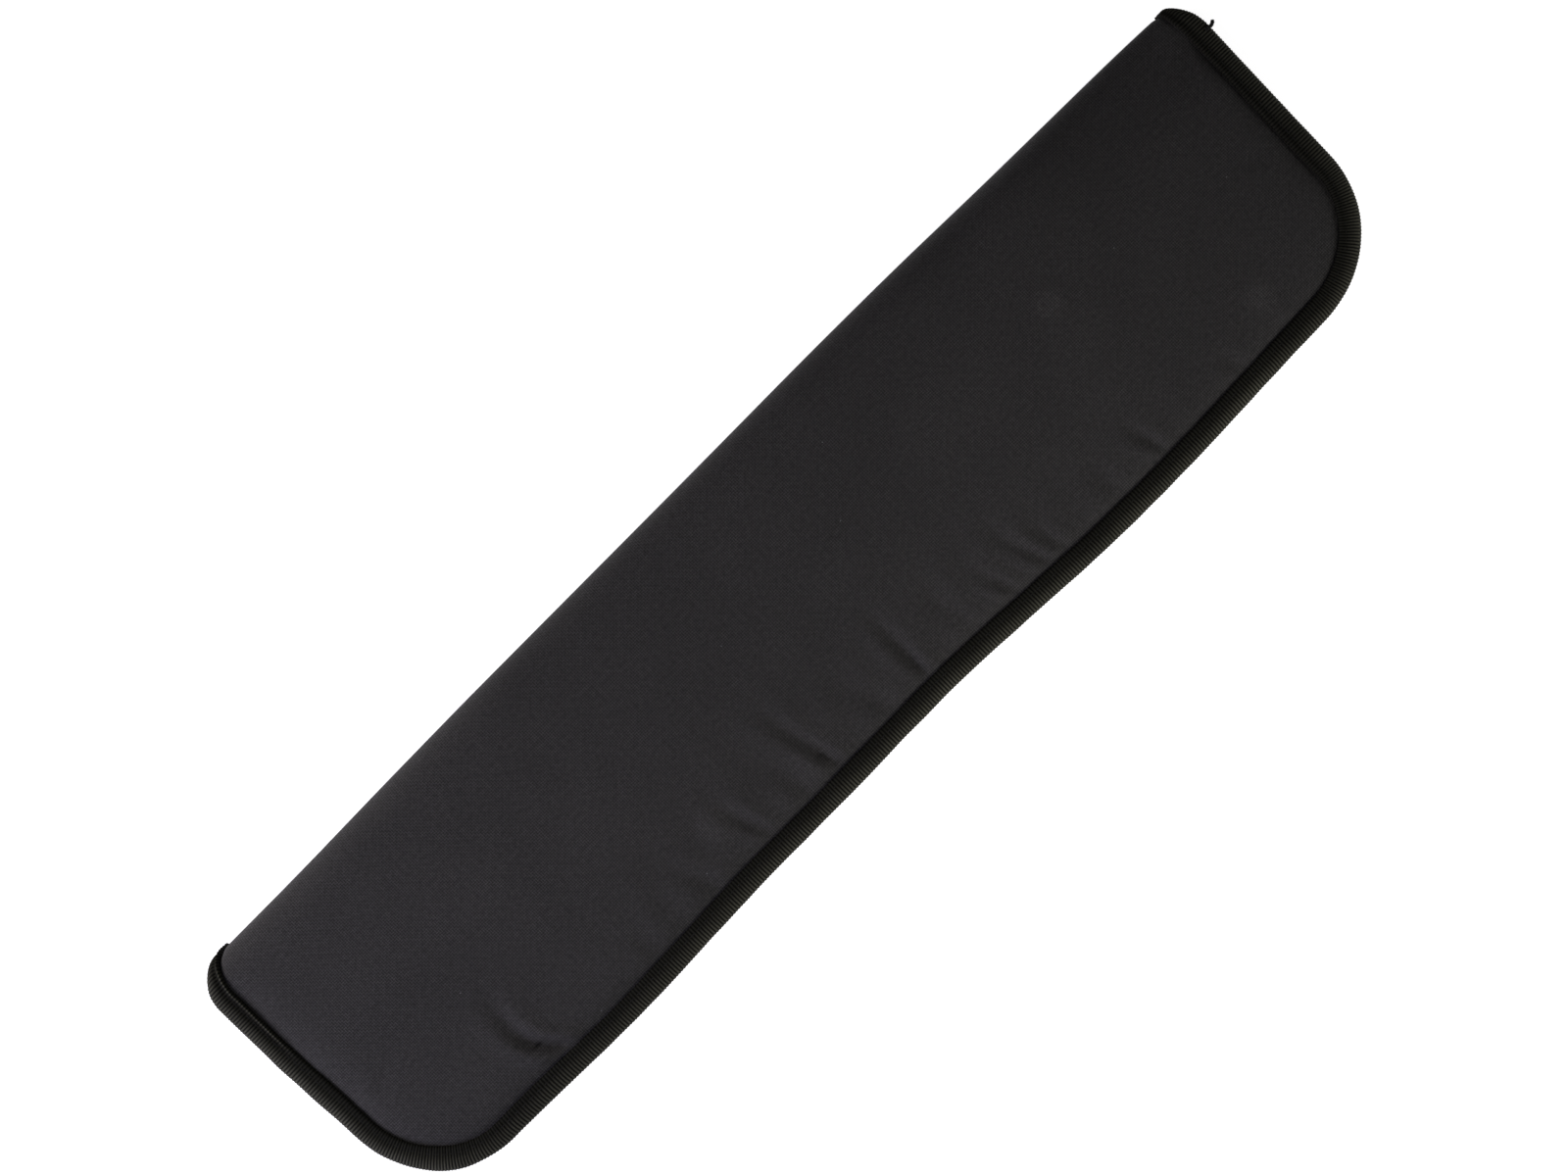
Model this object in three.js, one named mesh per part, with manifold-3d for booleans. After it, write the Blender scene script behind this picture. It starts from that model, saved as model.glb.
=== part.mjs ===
// Padded folding knife case: two foam-filled cloth halves joined by a padded fold along one long
// side, edged with binding tape and closed by a zip that runs round the other three sides.
// Millimetres. +X along the case towards its head end, +Y towards the fold, +Z up from the floor.
import * as THREE from 'three';
import { mergeVertices } from 'three/addons/utils/BufferGeometryUtils.js';
import Module from 'manifold-3d';

const wasm = await Module();
wasm.setup();

// Closed case, over the binding
const caseLength = 456;
const caseWidth = 113;
const caseThickness = 23;
const cornerRadius = 38;
const endSlant = THREE.MathUtils.degToRad(2);

// Padding: the front panel's crown, and the shoulder where the padding is drawn in to the binding
const frontCrown = 1.4;
const shoulderWidth = 8;
const shoulderRise = [0, 0, 0.45, 0.85, 1];
const shoulderReach = [0, 0, 0.12, 0.45, 1];

// Fold: its outer radius, and how far the case's ends are drawn in as they turn round it
const foldRadius = 8;
const foldDrawIn = 4;
const foldCutGap = 0.15;

// Cloth and foam layers
const shellThickness = 0.7;
const foamThickness = 5;
const foamPressed = 0.6;
const liningThickness = 0.8;
const layerGap = 0.2;

// Binding tape, folded over the edge of all layers. Its face is flat between two shares of its width.
const bindingWidth = 8;
const bindingInnerWidth = 6.6;
const bindingTape = 0.7;
const bindingSetBack = 1.1;
const bindingCrown = 0.35;
const crownStart = 0.8;
const noseStart = 0.45;
const edgeInset = 2.5;

// Zip: tape, tooth rows and stops
const zipTape = 0.6;
const zipInset = 7.3;
const zipEndGap = 3;
const toothPitch = 4.8;
const toothLength = 2.2;
const rootEnd = 0.66;
const toothDepth = 1.3;
const toothRoot = 1;
const chainThickness = 2.4;
const chainParting = 1.3;
const stopLength = 2.6;
const stopWall = 0.5;
const stopCheek = 1;
const fitGap = 0.3;

// Slider and pull
const sliderLength = 12;
const sliderPlate = 0.9;
const sliderLip = 0.75;
const sliderFromFold = 24;
const wedgeLength = 5;
const bridgeSpan = 7;
const bridgeBar = 1.2;
const bridgeTop = 0.9;
const bridgeWidth = 1.6;
const pullLength = 24;
const pullWidth = 6;
const pullThickness = 1.2;
const pullWindow = 4;
const pullWaist = 1.2;
const pullWaistX = 9.6;
const pullSlot = 2;

// Elastic bands that hold the knives on the back half's lining
const bandWidth = 38;
const bandThickness = 1.2;
const bandTuck = 8;
const bandFromFold = 22;
const bandFromLongEdge = 24;
const bandPlaces = { elastic_band_head: 95, elastic_band_foot: -115 };

// Facet counts
const foldSteps = 3;
const cornerSteps = 6;
const rungSteps = 6;

// Worked-out sizes. A depth is measured inwards from a half's outer face.
const foldStartY = caseWidth / 2 - foldRadius;
const midDepth = caseThickness / 2;
const cornerY = -caseWidth / 2 + cornerRadius;
const shellEdgeDepth = bindingSetBack + bindingTape + layerGap;
const foamEdgeDepth = shellEdgeDepth + shellThickness + layerGap;
const liningEdgeDepth = foamEdgeDepth + foamPressed + layerGap;
const flangeDepth = liningEdgeDepth + liningThickness + layerGap;
const bindingLegDepth = flangeDepth + zipTape + layerGap;
const bindingBackDepth = bindingLegDepth + bindingTape;
const liningDepth = shellThickness + foamThickness + 2 * layerGap;
const liningFace = liningDepth + liningThickness;
const toothTipDepth = midDepth - chainParting;
const toothRootDepth = toothTipDepth - toothDepth;
const chainBackDepth = toothRootDepth - toothRoot;
const tapeTopDepth = chainBackDepth - layerGap;
const zipEndY = foldStartY - zipEndGap;
const sliderY = caseWidth / 2 - sliderFromFold;

const endX = (y) => caseLength / 2 - Math.tan(endSlant) * (foldStartY - y);
const cornerStartY = cornerY - cornerRadius * Math.sin(endSlant);
const cornerX = endX(cornerStartY) - cornerRadius * Math.cos(endSlant);
const cornerTurn = Math.PI / 2 - endSlant;

// Stations along the bound edge, from the fold at the head end to the fold at the foot end.
// Each gives the point at an inset from the edge and a depth from the outer face.
function foldPoint(inset, radius, angle, sinkEnd) {
  const x = endX(foldStartY) - foldDrawIn * sinkEnd - inset / Math.cos(endSlant);
  return new THREE.Vector3(
    x,
    foldStartY + radius * Math.sin(angle),
    foldRadius - radius * Math.cos(angle),
  );
}

function foldStation(share) {
  return (inset, depth) => {
    const radius = foldRadius - depth;
    const cut = Math.PI / 4 - Math.asin(foldCutGap / radius);
    return foldPoint(inset, radius, share * cut, 1 - Math.cos(share * Math.PI / 4));
  };
}

function endStation(y) {
  return (inset, depth) => new THREE.Vector3(endX(y) - inset / Math.cos(endSlant), y, depth);
}

function cornerStation(share) {
  const angle = -(endSlant + share * cornerTurn);
  return (inset, depth) => new THREE.Vector3(
    cornerX + (cornerRadius - inset) * Math.cos(angle),
    cornerY + (cornerRadius - inset) * Math.sin(angle),
    depth,
  );
}

function longStation(share) {
  return (inset, depth) => new THREE.Vector3(
    cornerX * (1 - 2 * share),
    -caseWidth / 2 + inset,
    depth,
  );
}

const mirrored = (station) => (inset, depth) => {
  const point = station(inset, depth);
  point.x = -point.x;
  return point;
};

const steps = (count, make) => Array.from({ length: count }, (_, i) => make(i));

function wholeEdge(headStations) {
  const longStations = steps(rungSteps - 1, (i) => longStation((i + 1) / rungSteps));
  const footStations = headStations.map(mirrored).reverse();
  return [...headStations, ...longStations, ...footStations];
}

const cornerStations = steps(cornerSteps + 1, (i) => cornerStation(i / cornerSteps));
const panelHead = [
  ...steps(foldSteps, (i) => foldStation(1 - i / foldSteps)),
  endStation(foldStartY),
  endStation((foldStartY + cornerStartY) / 2),
  ...cornerStations,
];
const panelEdge = wholeEdge(panelHead);
const zipEdge = wholeEdge([endStation(zipEndY), ...cornerStations]);

// Closed geometry from points and triangles, with its faces turned outwards
function closedGeometry(points, triangles) {
  let volume = 0;
  for (const [a, b, c] of triangles) {
    volume += points[a].dot(new THREE.Vector3().crossVectors(points[b], points[c]));
  }
  const ordered = volume > 0 ? triangles : triangles.map(([a, b, c]) => [a, c, b]);
  const geometry = new THREE.BufferGeometry().setFromPoints(points);
  geometry.setIndex(ordered.flat());
  geometry.computeVertexNormals();
  return geometry;
}

const quad = (a, b, c, d) => [[a, b, c], [a, c, d]];

// A sheet of any thickness between an outer and an inner skin that share one layout of quads
function thickSheet(outer, inner, quads) {
  const shift = outer.length;
  const triangles = [];
  const edges = new Map();
  for (const [a, b, c, d] of quads) {
    const faces = quad(a, b, c, d);
    triangles.push(...faces, ...faces.map(([p, q, r]) => [r + shift, q + shift, p + shift]));
    for (const [from, to] of [[a, b], [b, c], [c, d], [d, a]]) {
      if (!edges.delete(`${to},${from}`)) edges.set(`${from},${to}`, [from, to]);
    }
  }
  for (const [from, to] of edges.values()) {
    triangles.push(...quad(to, from, from + shift, to + shift));
  }
  return closedGeometry([...outer, ...inner], triangles);
}

// Insets of a layer's rings: the cut edge, the binding's inner edge and the padded shoulder
const shoulderStart = bindingWidth + layerGap;
const ringInsets = shoulderReach.map((reach, i) => (
  i === 0 ? edgeInset : shoulderStart + reach * shoulderWidth));

const shellDepths = shoulderRise.map((rise) => shellEdgeDepth * (1 - rise));
const liningDepths = shoulderRise.map((rise) => (
  liningEdgeDepth + (liningDepth - liningEdgeDepth) * rise));
const shifted = (depths, amount) => depths.map((depth) => depth + amount);

// Height of the crown over a panel's flat, nothing at its rim and full in the middle
function crownAt(point, crown) {
  const rim = -caseWidth / 2 + bindingWidth + shoulderWidth;
  const across = THREE.MathUtils.clamp((point.y - rim) / (foldStartY - rim), 0, 1);
  const along = point.x / (caseLength / 2 - bindingWidth - shoulderWidth);
  return crown * Math.sin(Math.PI * across) * (1 - along ** 4);
}

// One skin of a half's panel: rings along the bound edge, then rungs across between its two ends
function panelSkin(depths, crown) {
  const points = [];
  ringInsets.forEach((inset, ring) => {
    panelEdge.forEach((station) => points.push(station(inset, depths[ring])));
  });
  const last = ringInsets.length - 1;
  for (let rung = 0; rung < panelHead.length - 1; rung += 1) {
    for (let step = 1; step < rungSteps; step += 1) {
      const point = panelHead[rung](ringInsets[last], depths[last]);
      point.x *= 1 - 2 * step / rungSteps;
      point.z -= crownAt(point, crown);
      points.push(point);
    }
  }
  return points;
}

function panelQuads() {
  const count = panelEdge.length;
  const rings = (ring, station) => ring * count + station;
  const last = ringInsets.length - 1;
  const rungs = (rung, step) => {
    if (step === 0) return rings(last, rung);
    if (step === rungSteps) return rings(last, count - 1 - rung);
    if (rung === panelHead.length - 1) return rings(last, rung + step);
    return ringInsets.length * count + rung * (rungSteps - 1) + step - 1;
  };
  const quads = [];
  for (let ring = 0; ring < last; ring += 1) {
    for (let i = 0; i < count - 1; i += 1) {
      quads.push([rings(ring, i), rings(ring, i + 1), rings(ring + 1, i + 1), rings(ring + 1, i)]);
    }
  }
  for (let rung = 0; rung < panelHead.length - 1; rung += 1) {
    for (let step = 0; step < rungSteps; step += 1) {
      quads.push([
        rungs(rung, step), rungs(rung + 1, step), rungs(rung + 1, step + 1), rungs(rung, step + 1),
      ]);
    }
  }
  return quads;
}

function panelLayer(outerDepths, innerDepths, outerCrown, innerCrown) {
  return thickSheet(
    panelSkin(outerDepths, outerCrown),
    panelSkin(innerDepths, innerCrown),
    panelQuads(),
  );
}

// Rows round the fold for the pieces on the spine: the second half of each bend and the flat
// between them, from the back half's side to the front half's
function spineRow(share, front) {
  return (inset, depth) => {
    const radius = foldRadius - depth;
    const cut = Math.PI / 4 + Math.asin(foldCutGap / radius);
    const angle = cut + share * (Math.PI / 2 - cut);
    const nominal = (1 + share) * Math.PI / 4;
    const point = foldPoint(inset, radius, angle, 1 - Math.cos(nominal));
    if (front) point.z = caseThickness - point.z;
    return point;
  };
}

const bendShares = steps(foldSteps + 1, (i) => i / foldSteps);
const spineRows = [
  ...bendShares.map((share) => spineRow(share, false)),
  ...bendShares.map((share) => spineRow(1 - share, true)),
];

function spineSkin(depths) {
  const last = ringInsets.length - 1;
  return spineRows.flatMap((row) => {
    const head = ringInsets.map((inset, ring) => row(inset, depths[ring]));
    const middle = steps(rungSteps - 1, (i) => {
      const point = row(ringInsets[last], depths[last]);
      point.x *= 1 - 2 * (i + 1) / rungSteps;
      return point;
    });
    const foot = ringInsets.map((inset, ring) => mirrored(row)(inset, depths[ring])).reverse();
    return [...head, ...middle, ...foot];
  });
}

function spineLayer(outerDepths, innerDepths) {
  const columns = 2 * ringInsets.length + rungSteps - 1;
  const quads = [];
  for (let row = 0; row < spineRows.length - 1; row += 1) {
    for (let column = 0; column < columns - 1; column += 1) {
      const corner = row * columns + column;
      quads.push([corner, corner + columns, corner + columns + 1, corner + 1]);
    }
  }
  return thickSheet(spineSkin(outerDepths), spineSkin(innerDepths), quads);
}

// A closed section of (inset, depth) points carried along stations and capped at both ends
function sweep(section, stations) {
  const points = stations.flatMap((station) => section.map((p) => station(p.x, p.y)));
  const count = section.length;
  const triangles = [];
  for (let i = 0; i < stations.length - 1; i += 1) {
    for (let k = 0; k < count; k += 1) {
      const next = (k + 1) % count;
      triangles.push(...quad(
        i * count + k, i * count + next, (i + 1) * count + next, (i + 1) * count + k,
      ));
    }
  }
  const runsAlong = ([a, b, c]) => (
    THREE.ShapeUtils.area([section[a], section[b], section[c]]) * THREE.ShapeUtils.area(section) > 0);
  const end = (stations.length - 1) * count;
  for (const triangle of THREE.ShapeUtils.triangulateShape(section, [])) {
    const [a, b, c] = runsAlong(triangle) ? triangle : [...triangle].reverse();
    triangles.push([c, b, a], [a + end, b + end, c + end]);
  }
  return closedGeometry(points, triangles);
}

const section = (pairs) => pairs.map(([inset, depth]) => new THREE.Vector2(inset, depth));

// Binding: tape folded round the edge, crowned outside, its long leg on the shell
const bindingMid = (bindingSetBack + bindingBackDepth) / 2;
const noseHalf = bindingMid - bindingSetBack;
const noseArc = (reach, half) => steps(5, (i) => {
  const angle = Math.PI / 4 * (i - 2);
  return [reach - reach * Math.cos(angle), bindingMid + half * Math.sin(angle)];
});
const bindingSection = section([
  [bindingWidth, bindingSetBack + bindingTape],
  [bindingWidth, bindingSetBack + bindingCrown],
  [bindingWidth * crownStart, bindingSetBack],
  [bindingWidth * noseStart, bindingSetBack],
  ...noseArc(edgeInset - layerGap, noseHalf),
  [bindingInnerWidth, bindingBackDepth],
  [bindingInnerWidth, bindingLegDepth],
  ...noseArc(edgeInset - layerGap - bindingTape, noseHalf - bindingTape)
    .map(([inset, depth]) => [inset + bindingTape, depth]).reverse(),
]);

const zipTapeSection = section([
  [edgeInset, flangeDepth],
  [zipInset + zipTape / 2, flangeDepth],
  [zipInset + zipTape / 2, tapeTopDepth],
  [zipInset - zipTape / 2, tapeTopDepth],
  [zipInset - zipTape / 2, flangeDepth + zipTape],
  [edgeInset, flangeDepth + zipTape],
]);

// The zip line as a length: down the head end, round the corner, along the long side and back
const bendLength = (cornerRadius - zipInset) * cornerTurn;
const runStartY = cornerY - (cornerRadius - zipInset) * Math.sin(endSlant);
const endRun = (y) => (y - runStartY) / Math.cos(endSlant);
const longRun = 2 * cornerX;

function zipStation(fromCorner) {
  if (fromCorner < 0) return endStation(runStartY - fromCorner * Math.cos(endSlant));
  if (fromCorner < bendLength) return cornerStation(fromCorner / bendLength);
  if (fromCorner <= bendLength + longRun) return longStation((fromCorner - bendLength) / longRun);
  return mirrored(zipStation(2 * bendLength + longRun - fromCorner));
}

// A row of moulded teeth on a continuous root, from one end of its half's zip to the other
function toothRow(startY, endY) {
  const start = -endRun(startY);
  const finish = 2 * bendLength + longRun + endRun(endY);
  const count = Math.floor((finish - start - toothLength) / toothPitch);
  const points = [];
  const triangles = [];
  const levels = [chainBackDepth, toothRootDepth, toothTipDepth];
  const addStation = (along) => {
    const station = zipStation(along);
    for (const side of [-1, 1]) {
      for (const depth of levels) points.push(station(zipInset + side * chainThickness / 2, depth));
    }
    return points.length - 6;
  };
  const place = (i) => start + i * toothPitch;
  let left = addStation(place(0));
  triangles.push(...quad(left, left + 1, left + 4, left + 3));
  for (let i = 0; i <= count; i += 1) {
    const flank = addStation(place(i) + toothLength);
    const right = i < count ? addStation(place(i + 1)) : addStation(place(i) + toothLength + rootEnd);
    for (const side of [0, 3]) {
      const face = [
        [left + side, right + side, right + side + 1],
        [left + side, right + side + 1, flank + side + 1],
        [left + side, flank + side + 1, left + side + 1],
        [left + side + 1, flank + side + 1, flank + side + 2],
        [left + side + 1, flank + side + 2, left + side + 2],
      ];
      triangles.push(...(side === 0 ? face : face.map(([a, b, c]) => [a, c, b])));
    }
    triangles.push(...quad(left, left + 3, right + 3, right));
    triangles.push(...quad(left + 2, flank + 2, flank + 5, left + 5));
    triangles.push(...quad(flank + 2, flank + 1, flank + 4, flank + 5));
    triangles.push(...quad(flank + 1, right + 1, right + 4, flank + 4));
    triangles.push(...quad(left + 1, left + 2, left + 5, left + 4));
    left = right;
  }
  triangles.push(...quad(left, left + 3, left + 4, left + 1));
  return usedPoints(points, triangles);
}

// Drops the points that no triangle uses
function usedPoints(points, triangles) {
  const renumbered = new Map();
  const kept = [];
  const remapped = triangles.map((triangle) => triangle.map((index) => {
    if (!renumbered.has(index)) {
      renumbered.set(index, kept.length);
      kept.push(points[index]);
    }
    return renumbered.get(index);
  }));
  return closedGeometry(kept, remapped);
}

// Solids that are joined or cut
function solid(geometry) {
  const bare = geometry.clone();
  bare.deleteAttribute('normal');
  bare.deleteAttribute('uv');
  const merged = mergeVertices(bare, 1e-4);
  return new wasm.Manifold(new wasm.Mesh({
    numProp: 3,
    vertProperties: new Float32Array(merged.attributes.position.array),
    triVerts: new Uint32Array(merged.index.array),
  }));
}

function fromSolid(body) {
  const mesh = body.getMesh();
  const geometry = new THREE.BufferGeometry();
  geometry.setAttribute('position', new THREE.BufferAttribute(new Float32Array(mesh.vertProperties), 3));
  geometry.setIndex(new THREE.BufferAttribute(new Uint32Array(mesh.triVerts), 1));
  geometry.computeVertexNormals();
  return geometry;
}

function roundedRectangle(halfX, halfY, radius) {
  const shape = new THREE.Shape();
  shape.moveTo(halfX - radius, -halfY);
  shape.absarc(halfX - radius, -halfY + radius, radius, -Math.PI / 2, 0);
  shape.absarc(halfX - radius, halfY - radius, radius, 0, Math.PI / 2);
  shape.absarc(-halfX + radius, halfY - radius, radius, Math.PI / 2, Math.PI);
  shape.absarc(-halfX + radius, -halfY + radius, radius, Math.PI, Math.PI * 1.5);
  return shape;
}

// Extrudes a shape drawn in x and z between two y values
function plateBetween(shape, fromY, toY, curveSegments = 4) {
  const geometry = new THREE.ExtrudeGeometry(shape, {
    depth: toY - fromY, bevelEnabled: false, curveSegments,
  });
  return geometry.rotateX(Math.PI / 2).translate(0, toY, 0);
}

// Slider, drawn with x along its travel, y out of the case and z up: two plates held apart by a
// wedge, lips that keep the tooth rows in, and a bridge for the pull
const channelHalf = chainThickness / 2 + fitGap;
const rowBack = midDepth - chainBackDepth;
const lipStart = rowBack + fitGap;
const sliderHalfHeight = lipStart + sliderLip;
const plateFace = channelHalf + sliderPlate;
const pullAxisY = plateFace + fitGap + pullThickness / 2;
const bridgeRoof = pullAxisY + pullThickness / 2 + fitGap;
const wedgeHalf = chainParting - fitGap;

function sliderGeometry() {
  const plate = roundedRectangle(sliderLength / 2, sliderHalfHeight, sliderLip * 2);
  const wedge = new THREE.Shape();
  wedge.moveTo(sliderLength / 2 - wedgeLength, 0);
  wedge.lineTo(sliderLength / 2 - wedgeLength / 2, -wedgeHalf);
  wedge.lineTo(sliderLength / 2, 0);
  wedge.lineTo(sliderLength / 2 - wedgeLength / 2, wedgeHalf);
  const arch = new THREE.Shape();
  const outerHalf = bridgeSpan / 2;
  const innerHalf = outerHalf - bridgeBar;
  arch.moveTo(-outerHalf, channelHalf + sliderPlate / 2);
  arch.lineTo(-innerHalf, channelHalf + sliderPlate / 2);
  arch.lineTo(-innerHalf, bridgeRoof);
  arch.lineTo(innerHalf, bridgeRoof);
  arch.lineTo(innerHalf, channelHalf + sliderPlate / 2);
  arch.lineTo(outerHalf, channelHalf + sliderPlate / 2);
  arch.lineTo(outerHalf, bridgeRoof);
  arch.lineTo(innerHalf, bridgeRoof + bridgeTop);
  arch.lineTo(-innerHalf, bridgeRoof + bridgeTop);
  arch.lineTo(-outerHalf, bridgeRoof);
  const bridge = new THREE.ExtrudeGeometry(arch, { depth: bridgeWidth, bevelEnabled: false });
  bridge.translate(0, 0, -bridgeWidth / 2);
  let body = solid(plateBetween(plate, channelHalf, plateFace));
  body = body.add(solid(plateBetween(plate, -plateFace, -channelHalf)));
  body = body.add(solid(plateBetween(wedge, -plateFace + sliderPlate / 2, plateFace - sliderPlate / 2)));
  body = body.add(solid(bridge));
  const lipReach = channelHalf + sliderPlate / 2 - zipTape / 2 - fitGap;
  for (const side of [-1, 1]) {
    for (const face of [-1, 1]) {
      const lip = new THREE.BoxGeometry(sliderLength - sliderLip * 4, lipReach, sliderLip);
      lip.translate(
        0,
        face * (zipTape / 2 + fitGap + lipReach / 2),
        side * (lipStart + sliderLip / 2),
      );
      body = body.add(solid(lip));
    }
  }
  return fromSolid(body);
}

// Pull tab, drawn with its pivot bar on the origin: an eye that straddles the bridge, a waisted
// tab and a slot to hook a finger or cord
function pullGeometry() {
  const half = pullWidth / 2;
  const bar = pullThickness / 2;
  const windowHalf = bridgeWidth / 2 + fitGap;
  const gripX = pullLength - bar - half;
  const outline = new THREE.Shape();
  outline.moveTo(-bar, -half + bar);
  outline.lineTo(0, -half);
  outline.lineTo(bar + pullWindow, -half);
  outline.quadraticCurveTo(pullWaistX, -half + pullWaist, gripX, -half);
  outline.absarc(gripX, 0, half, -Math.PI / 2, Math.PI / 2);
  outline.quadraticCurveTo(pullWaistX, half - pullWaist, bar + pullWindow, half);
  outline.lineTo(0, half);
  outline.lineTo(-bar, half - bar);
  const eye = new THREE.Path();
  eye.moveTo(bar, -windowHalf);
  eye.lineTo(bar, windowHalf);
  eye.lineTo(bar + pullWindow, windowHalf);
  eye.lineTo(bar + pullWindow, -windowHalf);
  const slot = new THREE.Path();
  const slotHalf = pullSlot / 2;
  slot.absarc(gripX, 0, slotHalf, -Math.PI / 2, Math.PI / 2);
  slot.absarc(pullLength / 2, 0, slotHalf, Math.PI / 2, Math.PI * 1.5);
  outline.holes.push(eye, slot);
  return plateBetween(outline, -pullThickness / 2, pullThickness / 2, 6);
}

// Zip stop: a clip closed over the tape's edge, drawn with x along the zip
function stopGeometry() {
  const slotHalf = zipTape / 2 + layerGap;
  const wallHalf = slotHalf + stopWall;
  const top = toothTipDepth - tapeTopDepth;
  const clip = new THREE.Shape();
  clip.moveTo(-wallHalf, -stopCheek);
  clip.lineTo(-slotHalf, -stopCheek);
  clip.lineTo(-slotHalf, layerGap);
  clip.lineTo(slotHalf, layerGap);
  clip.lineTo(slotHalf, -stopCheek);
  clip.lineTo(wallHalf, -stopCheek);
  clip.lineTo(wallHalf, top - stopWall);
  clip.lineTo(wallHalf - stopWall, top);
  clip.lineTo(-wallHalf + stopWall, top);
  clip.lineTo(-wallHalf, top - stopWall);
  const geometry = new THREE.ExtrudeGeometry(clip, { depth: stopLength, bevelEnabled: false });
  return geometry.translate(0, 0, -stopLength / 2).rotateX(Math.PI / 2).rotateZ(Math.PI / 2);
}

// Elastic band with its two ends tucked under, drawn across the case
function bandGeometry() {
  const fromY = -caseWidth / 2 + bandFromLongEdge;
  const toY = caseWidth / 2 - bandFromFold;
  const low = liningFace + layerGap;
  const profile = new THREE.Shape();
  profile.moveTo(fromY, low);
  profile.lineTo(toY, low);
  profile.lineTo(toY, low + 2 * bandThickness);
  profile.lineTo(toY - bandTuck, low + 2 * bandThickness);
  profile.lineTo(toY - bandTuck - bandThickness, low + bandThickness);
  profile.lineTo(fromY + bandTuck + bandThickness, low + bandThickness);
  profile.lineTo(fromY + bandTuck, low + 2 * bandThickness);
  profile.lineTo(fromY, low + 2 * bandThickness);
  const geometry = new THREE.ExtrudeGeometry(profile, { depth: bandWidth, bevelEnabled: false });
  return geometry.translate(0, 0, -bandWidth / 2).rotateY(Math.PI / 2).rotateX(Math.PI / 2);
}

const stopPitch = (stopLength / 2 + fitGap) * Math.cos(endSlant);

const finishes = {
  shellCloth: { color: 0x2d2b2e, roughness: 0.85, metalness: 0 },
  bindingTape: { color: 0x1b1b17, roughness: 0.8, metalness: 0 },
  foam: { color: 0x5a5b60, roughness: 0.95, metalness: 0 },
  lining: { color: 0x3a3a3e, roughness: 0.95, metalness: 0 },
  zipTape: { color: 0x17171a, roughness: 0.85, metalness: 0 },
  zipTeeth: { color: 0x101012, roughness: 0.4, metalness: 0 },
  elastic: { color: 0x1a1a1d, roughness: 0.9, metalness: 0 },
  nickel: { color: 0x8d8d90, roughness: 0.3, metalness: 1 },
};

function piece(name, geometry, finish) {
  const mesh = new THREE.Mesh(geometry, new THREE.MeshStandardMaterial(finishes[finish]));
  mesh.name = name;
  return mesh;
}

// A stop at a height y on a case end, turned to the end's slant
function zipStop(name, y, atFoot) {
  const stop = piece(name, stopGeometry(), 'nickel');
  const place = endStation(y)(zipInset, tapeTopDepth);
  stop.position.set(atFoot ? -place.x : place.x, place.y, place.z);
  stop.rotation.z = (atFoot ? 1 : -1) * (Math.PI / 2 + endSlant);
  return stop;
}

// One half of the case. Both halves are alike but for the crown and where the zip starts.
function half(prefix, crown, zipStartY) {
  const group = new THREE.Group();
  const foamOuter = shifted(shellDepths, shellThickness + layerGap);
  const footEndY = zipEndY - stopLength - fitGap;
  group.add(piece(
    `${prefix}_shell`,
    panelLayer(shellDepths, shifted(shellDepths, shellThickness), crown, crown),
    'shellCloth',
  ));
  group.add(piece(
    `${prefix}_foam`,
    panelLayer(foamOuter, shifted(liningDepths, -layerGap), crown, 0),
    'foam',
  ));
  group.add(piece(
    `${prefix}_lining`,
    panelLayer(liningDepths, shifted(liningDepths, liningThickness), 0, 0),
    'lining',
  ));
  group.add(piece(`${prefix}_binding`, sweep(bindingSection, panelEdge), 'bindingTape'));
  group.add(piece(`${prefix}_zip_tape`, sweep(zipTapeSection, zipEdge), 'zipTape'));
  group.add(piece(`${prefix}_zip_teeth`, toothRow(zipStartY, footEndY), 'zipTeeth'));
  group.add(zipStop(`${prefix}_zip_stop_foot`, footEndY + stopPitch, true));
  return group;
}

function spine() {
  const group = new THREE.Group();
  const foamOuter = shifted(shellDepths, shellThickness + layerGap);
  group.add(piece(
    'spine_shell',
    spineLayer(shellDepths, shifted(shellDepths, shellThickness)),
    'shellCloth',
  ));
  group.add(piece(
    'spine_foam',
    spineLayer(foamOuter, shifted(liningDepths, -layerGap)),
    'foam',
  ));
  group.add(piece(
    'spine_lining',
    spineLayer(liningDepths, shifted(liningDepths, liningThickness)),
    'lining',
  ));
  group.add(piece('spine_binding_head', sweep(bindingSection, spineRows), 'bindingTape'));
  group.add(piece(
    'spine_binding_foot',
    sweep(bindingSection, spineRows.map(mirrored)),
    'bindingTape',
  ));
  return group;
}

function sliderAndPull() {
  const group = new THREE.Group();
  const place = endStation(sliderY)(zipInset, midDepth);
  group.position.copy(place);
  group.rotation.z = -(Math.PI / 2 + endSlant);
  group.add(piece('zip_slider', sliderGeometry(), 'nickel'));
  const pull = piece('zip_pull', pullGeometry(), 'nickel');
  pull.position.y = pullAxisY;
  group.add(pull);
  return group;
}

const knifeCase = new THREE.Group();
const sliderBack = sliderY + (sliderLength / 2 + fitGap);
const sliderMouth = sliderY - (sliderLength / 2 + fitGap);
knifeCase.add(half('back', 0, sliderBack));
knifeCase.add(zipStop('back_zip_stop_head', sliderBack + stopPitch, false));
for (const [name, x] of Object.entries(bandPlaces)) {
  const band = piece(name, bandGeometry(), 'elastic');
  band.position.x = x;
  knifeCase.add(band);
}
knifeCase.add(spine());
const front = half('front', frontCrown, sliderMouth);
front.scale.z = -1;
front.position.z = caseThickness;
knifeCase.add(front);
knifeCase.add(sliderAndPull());

export default knifeCase;
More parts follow.
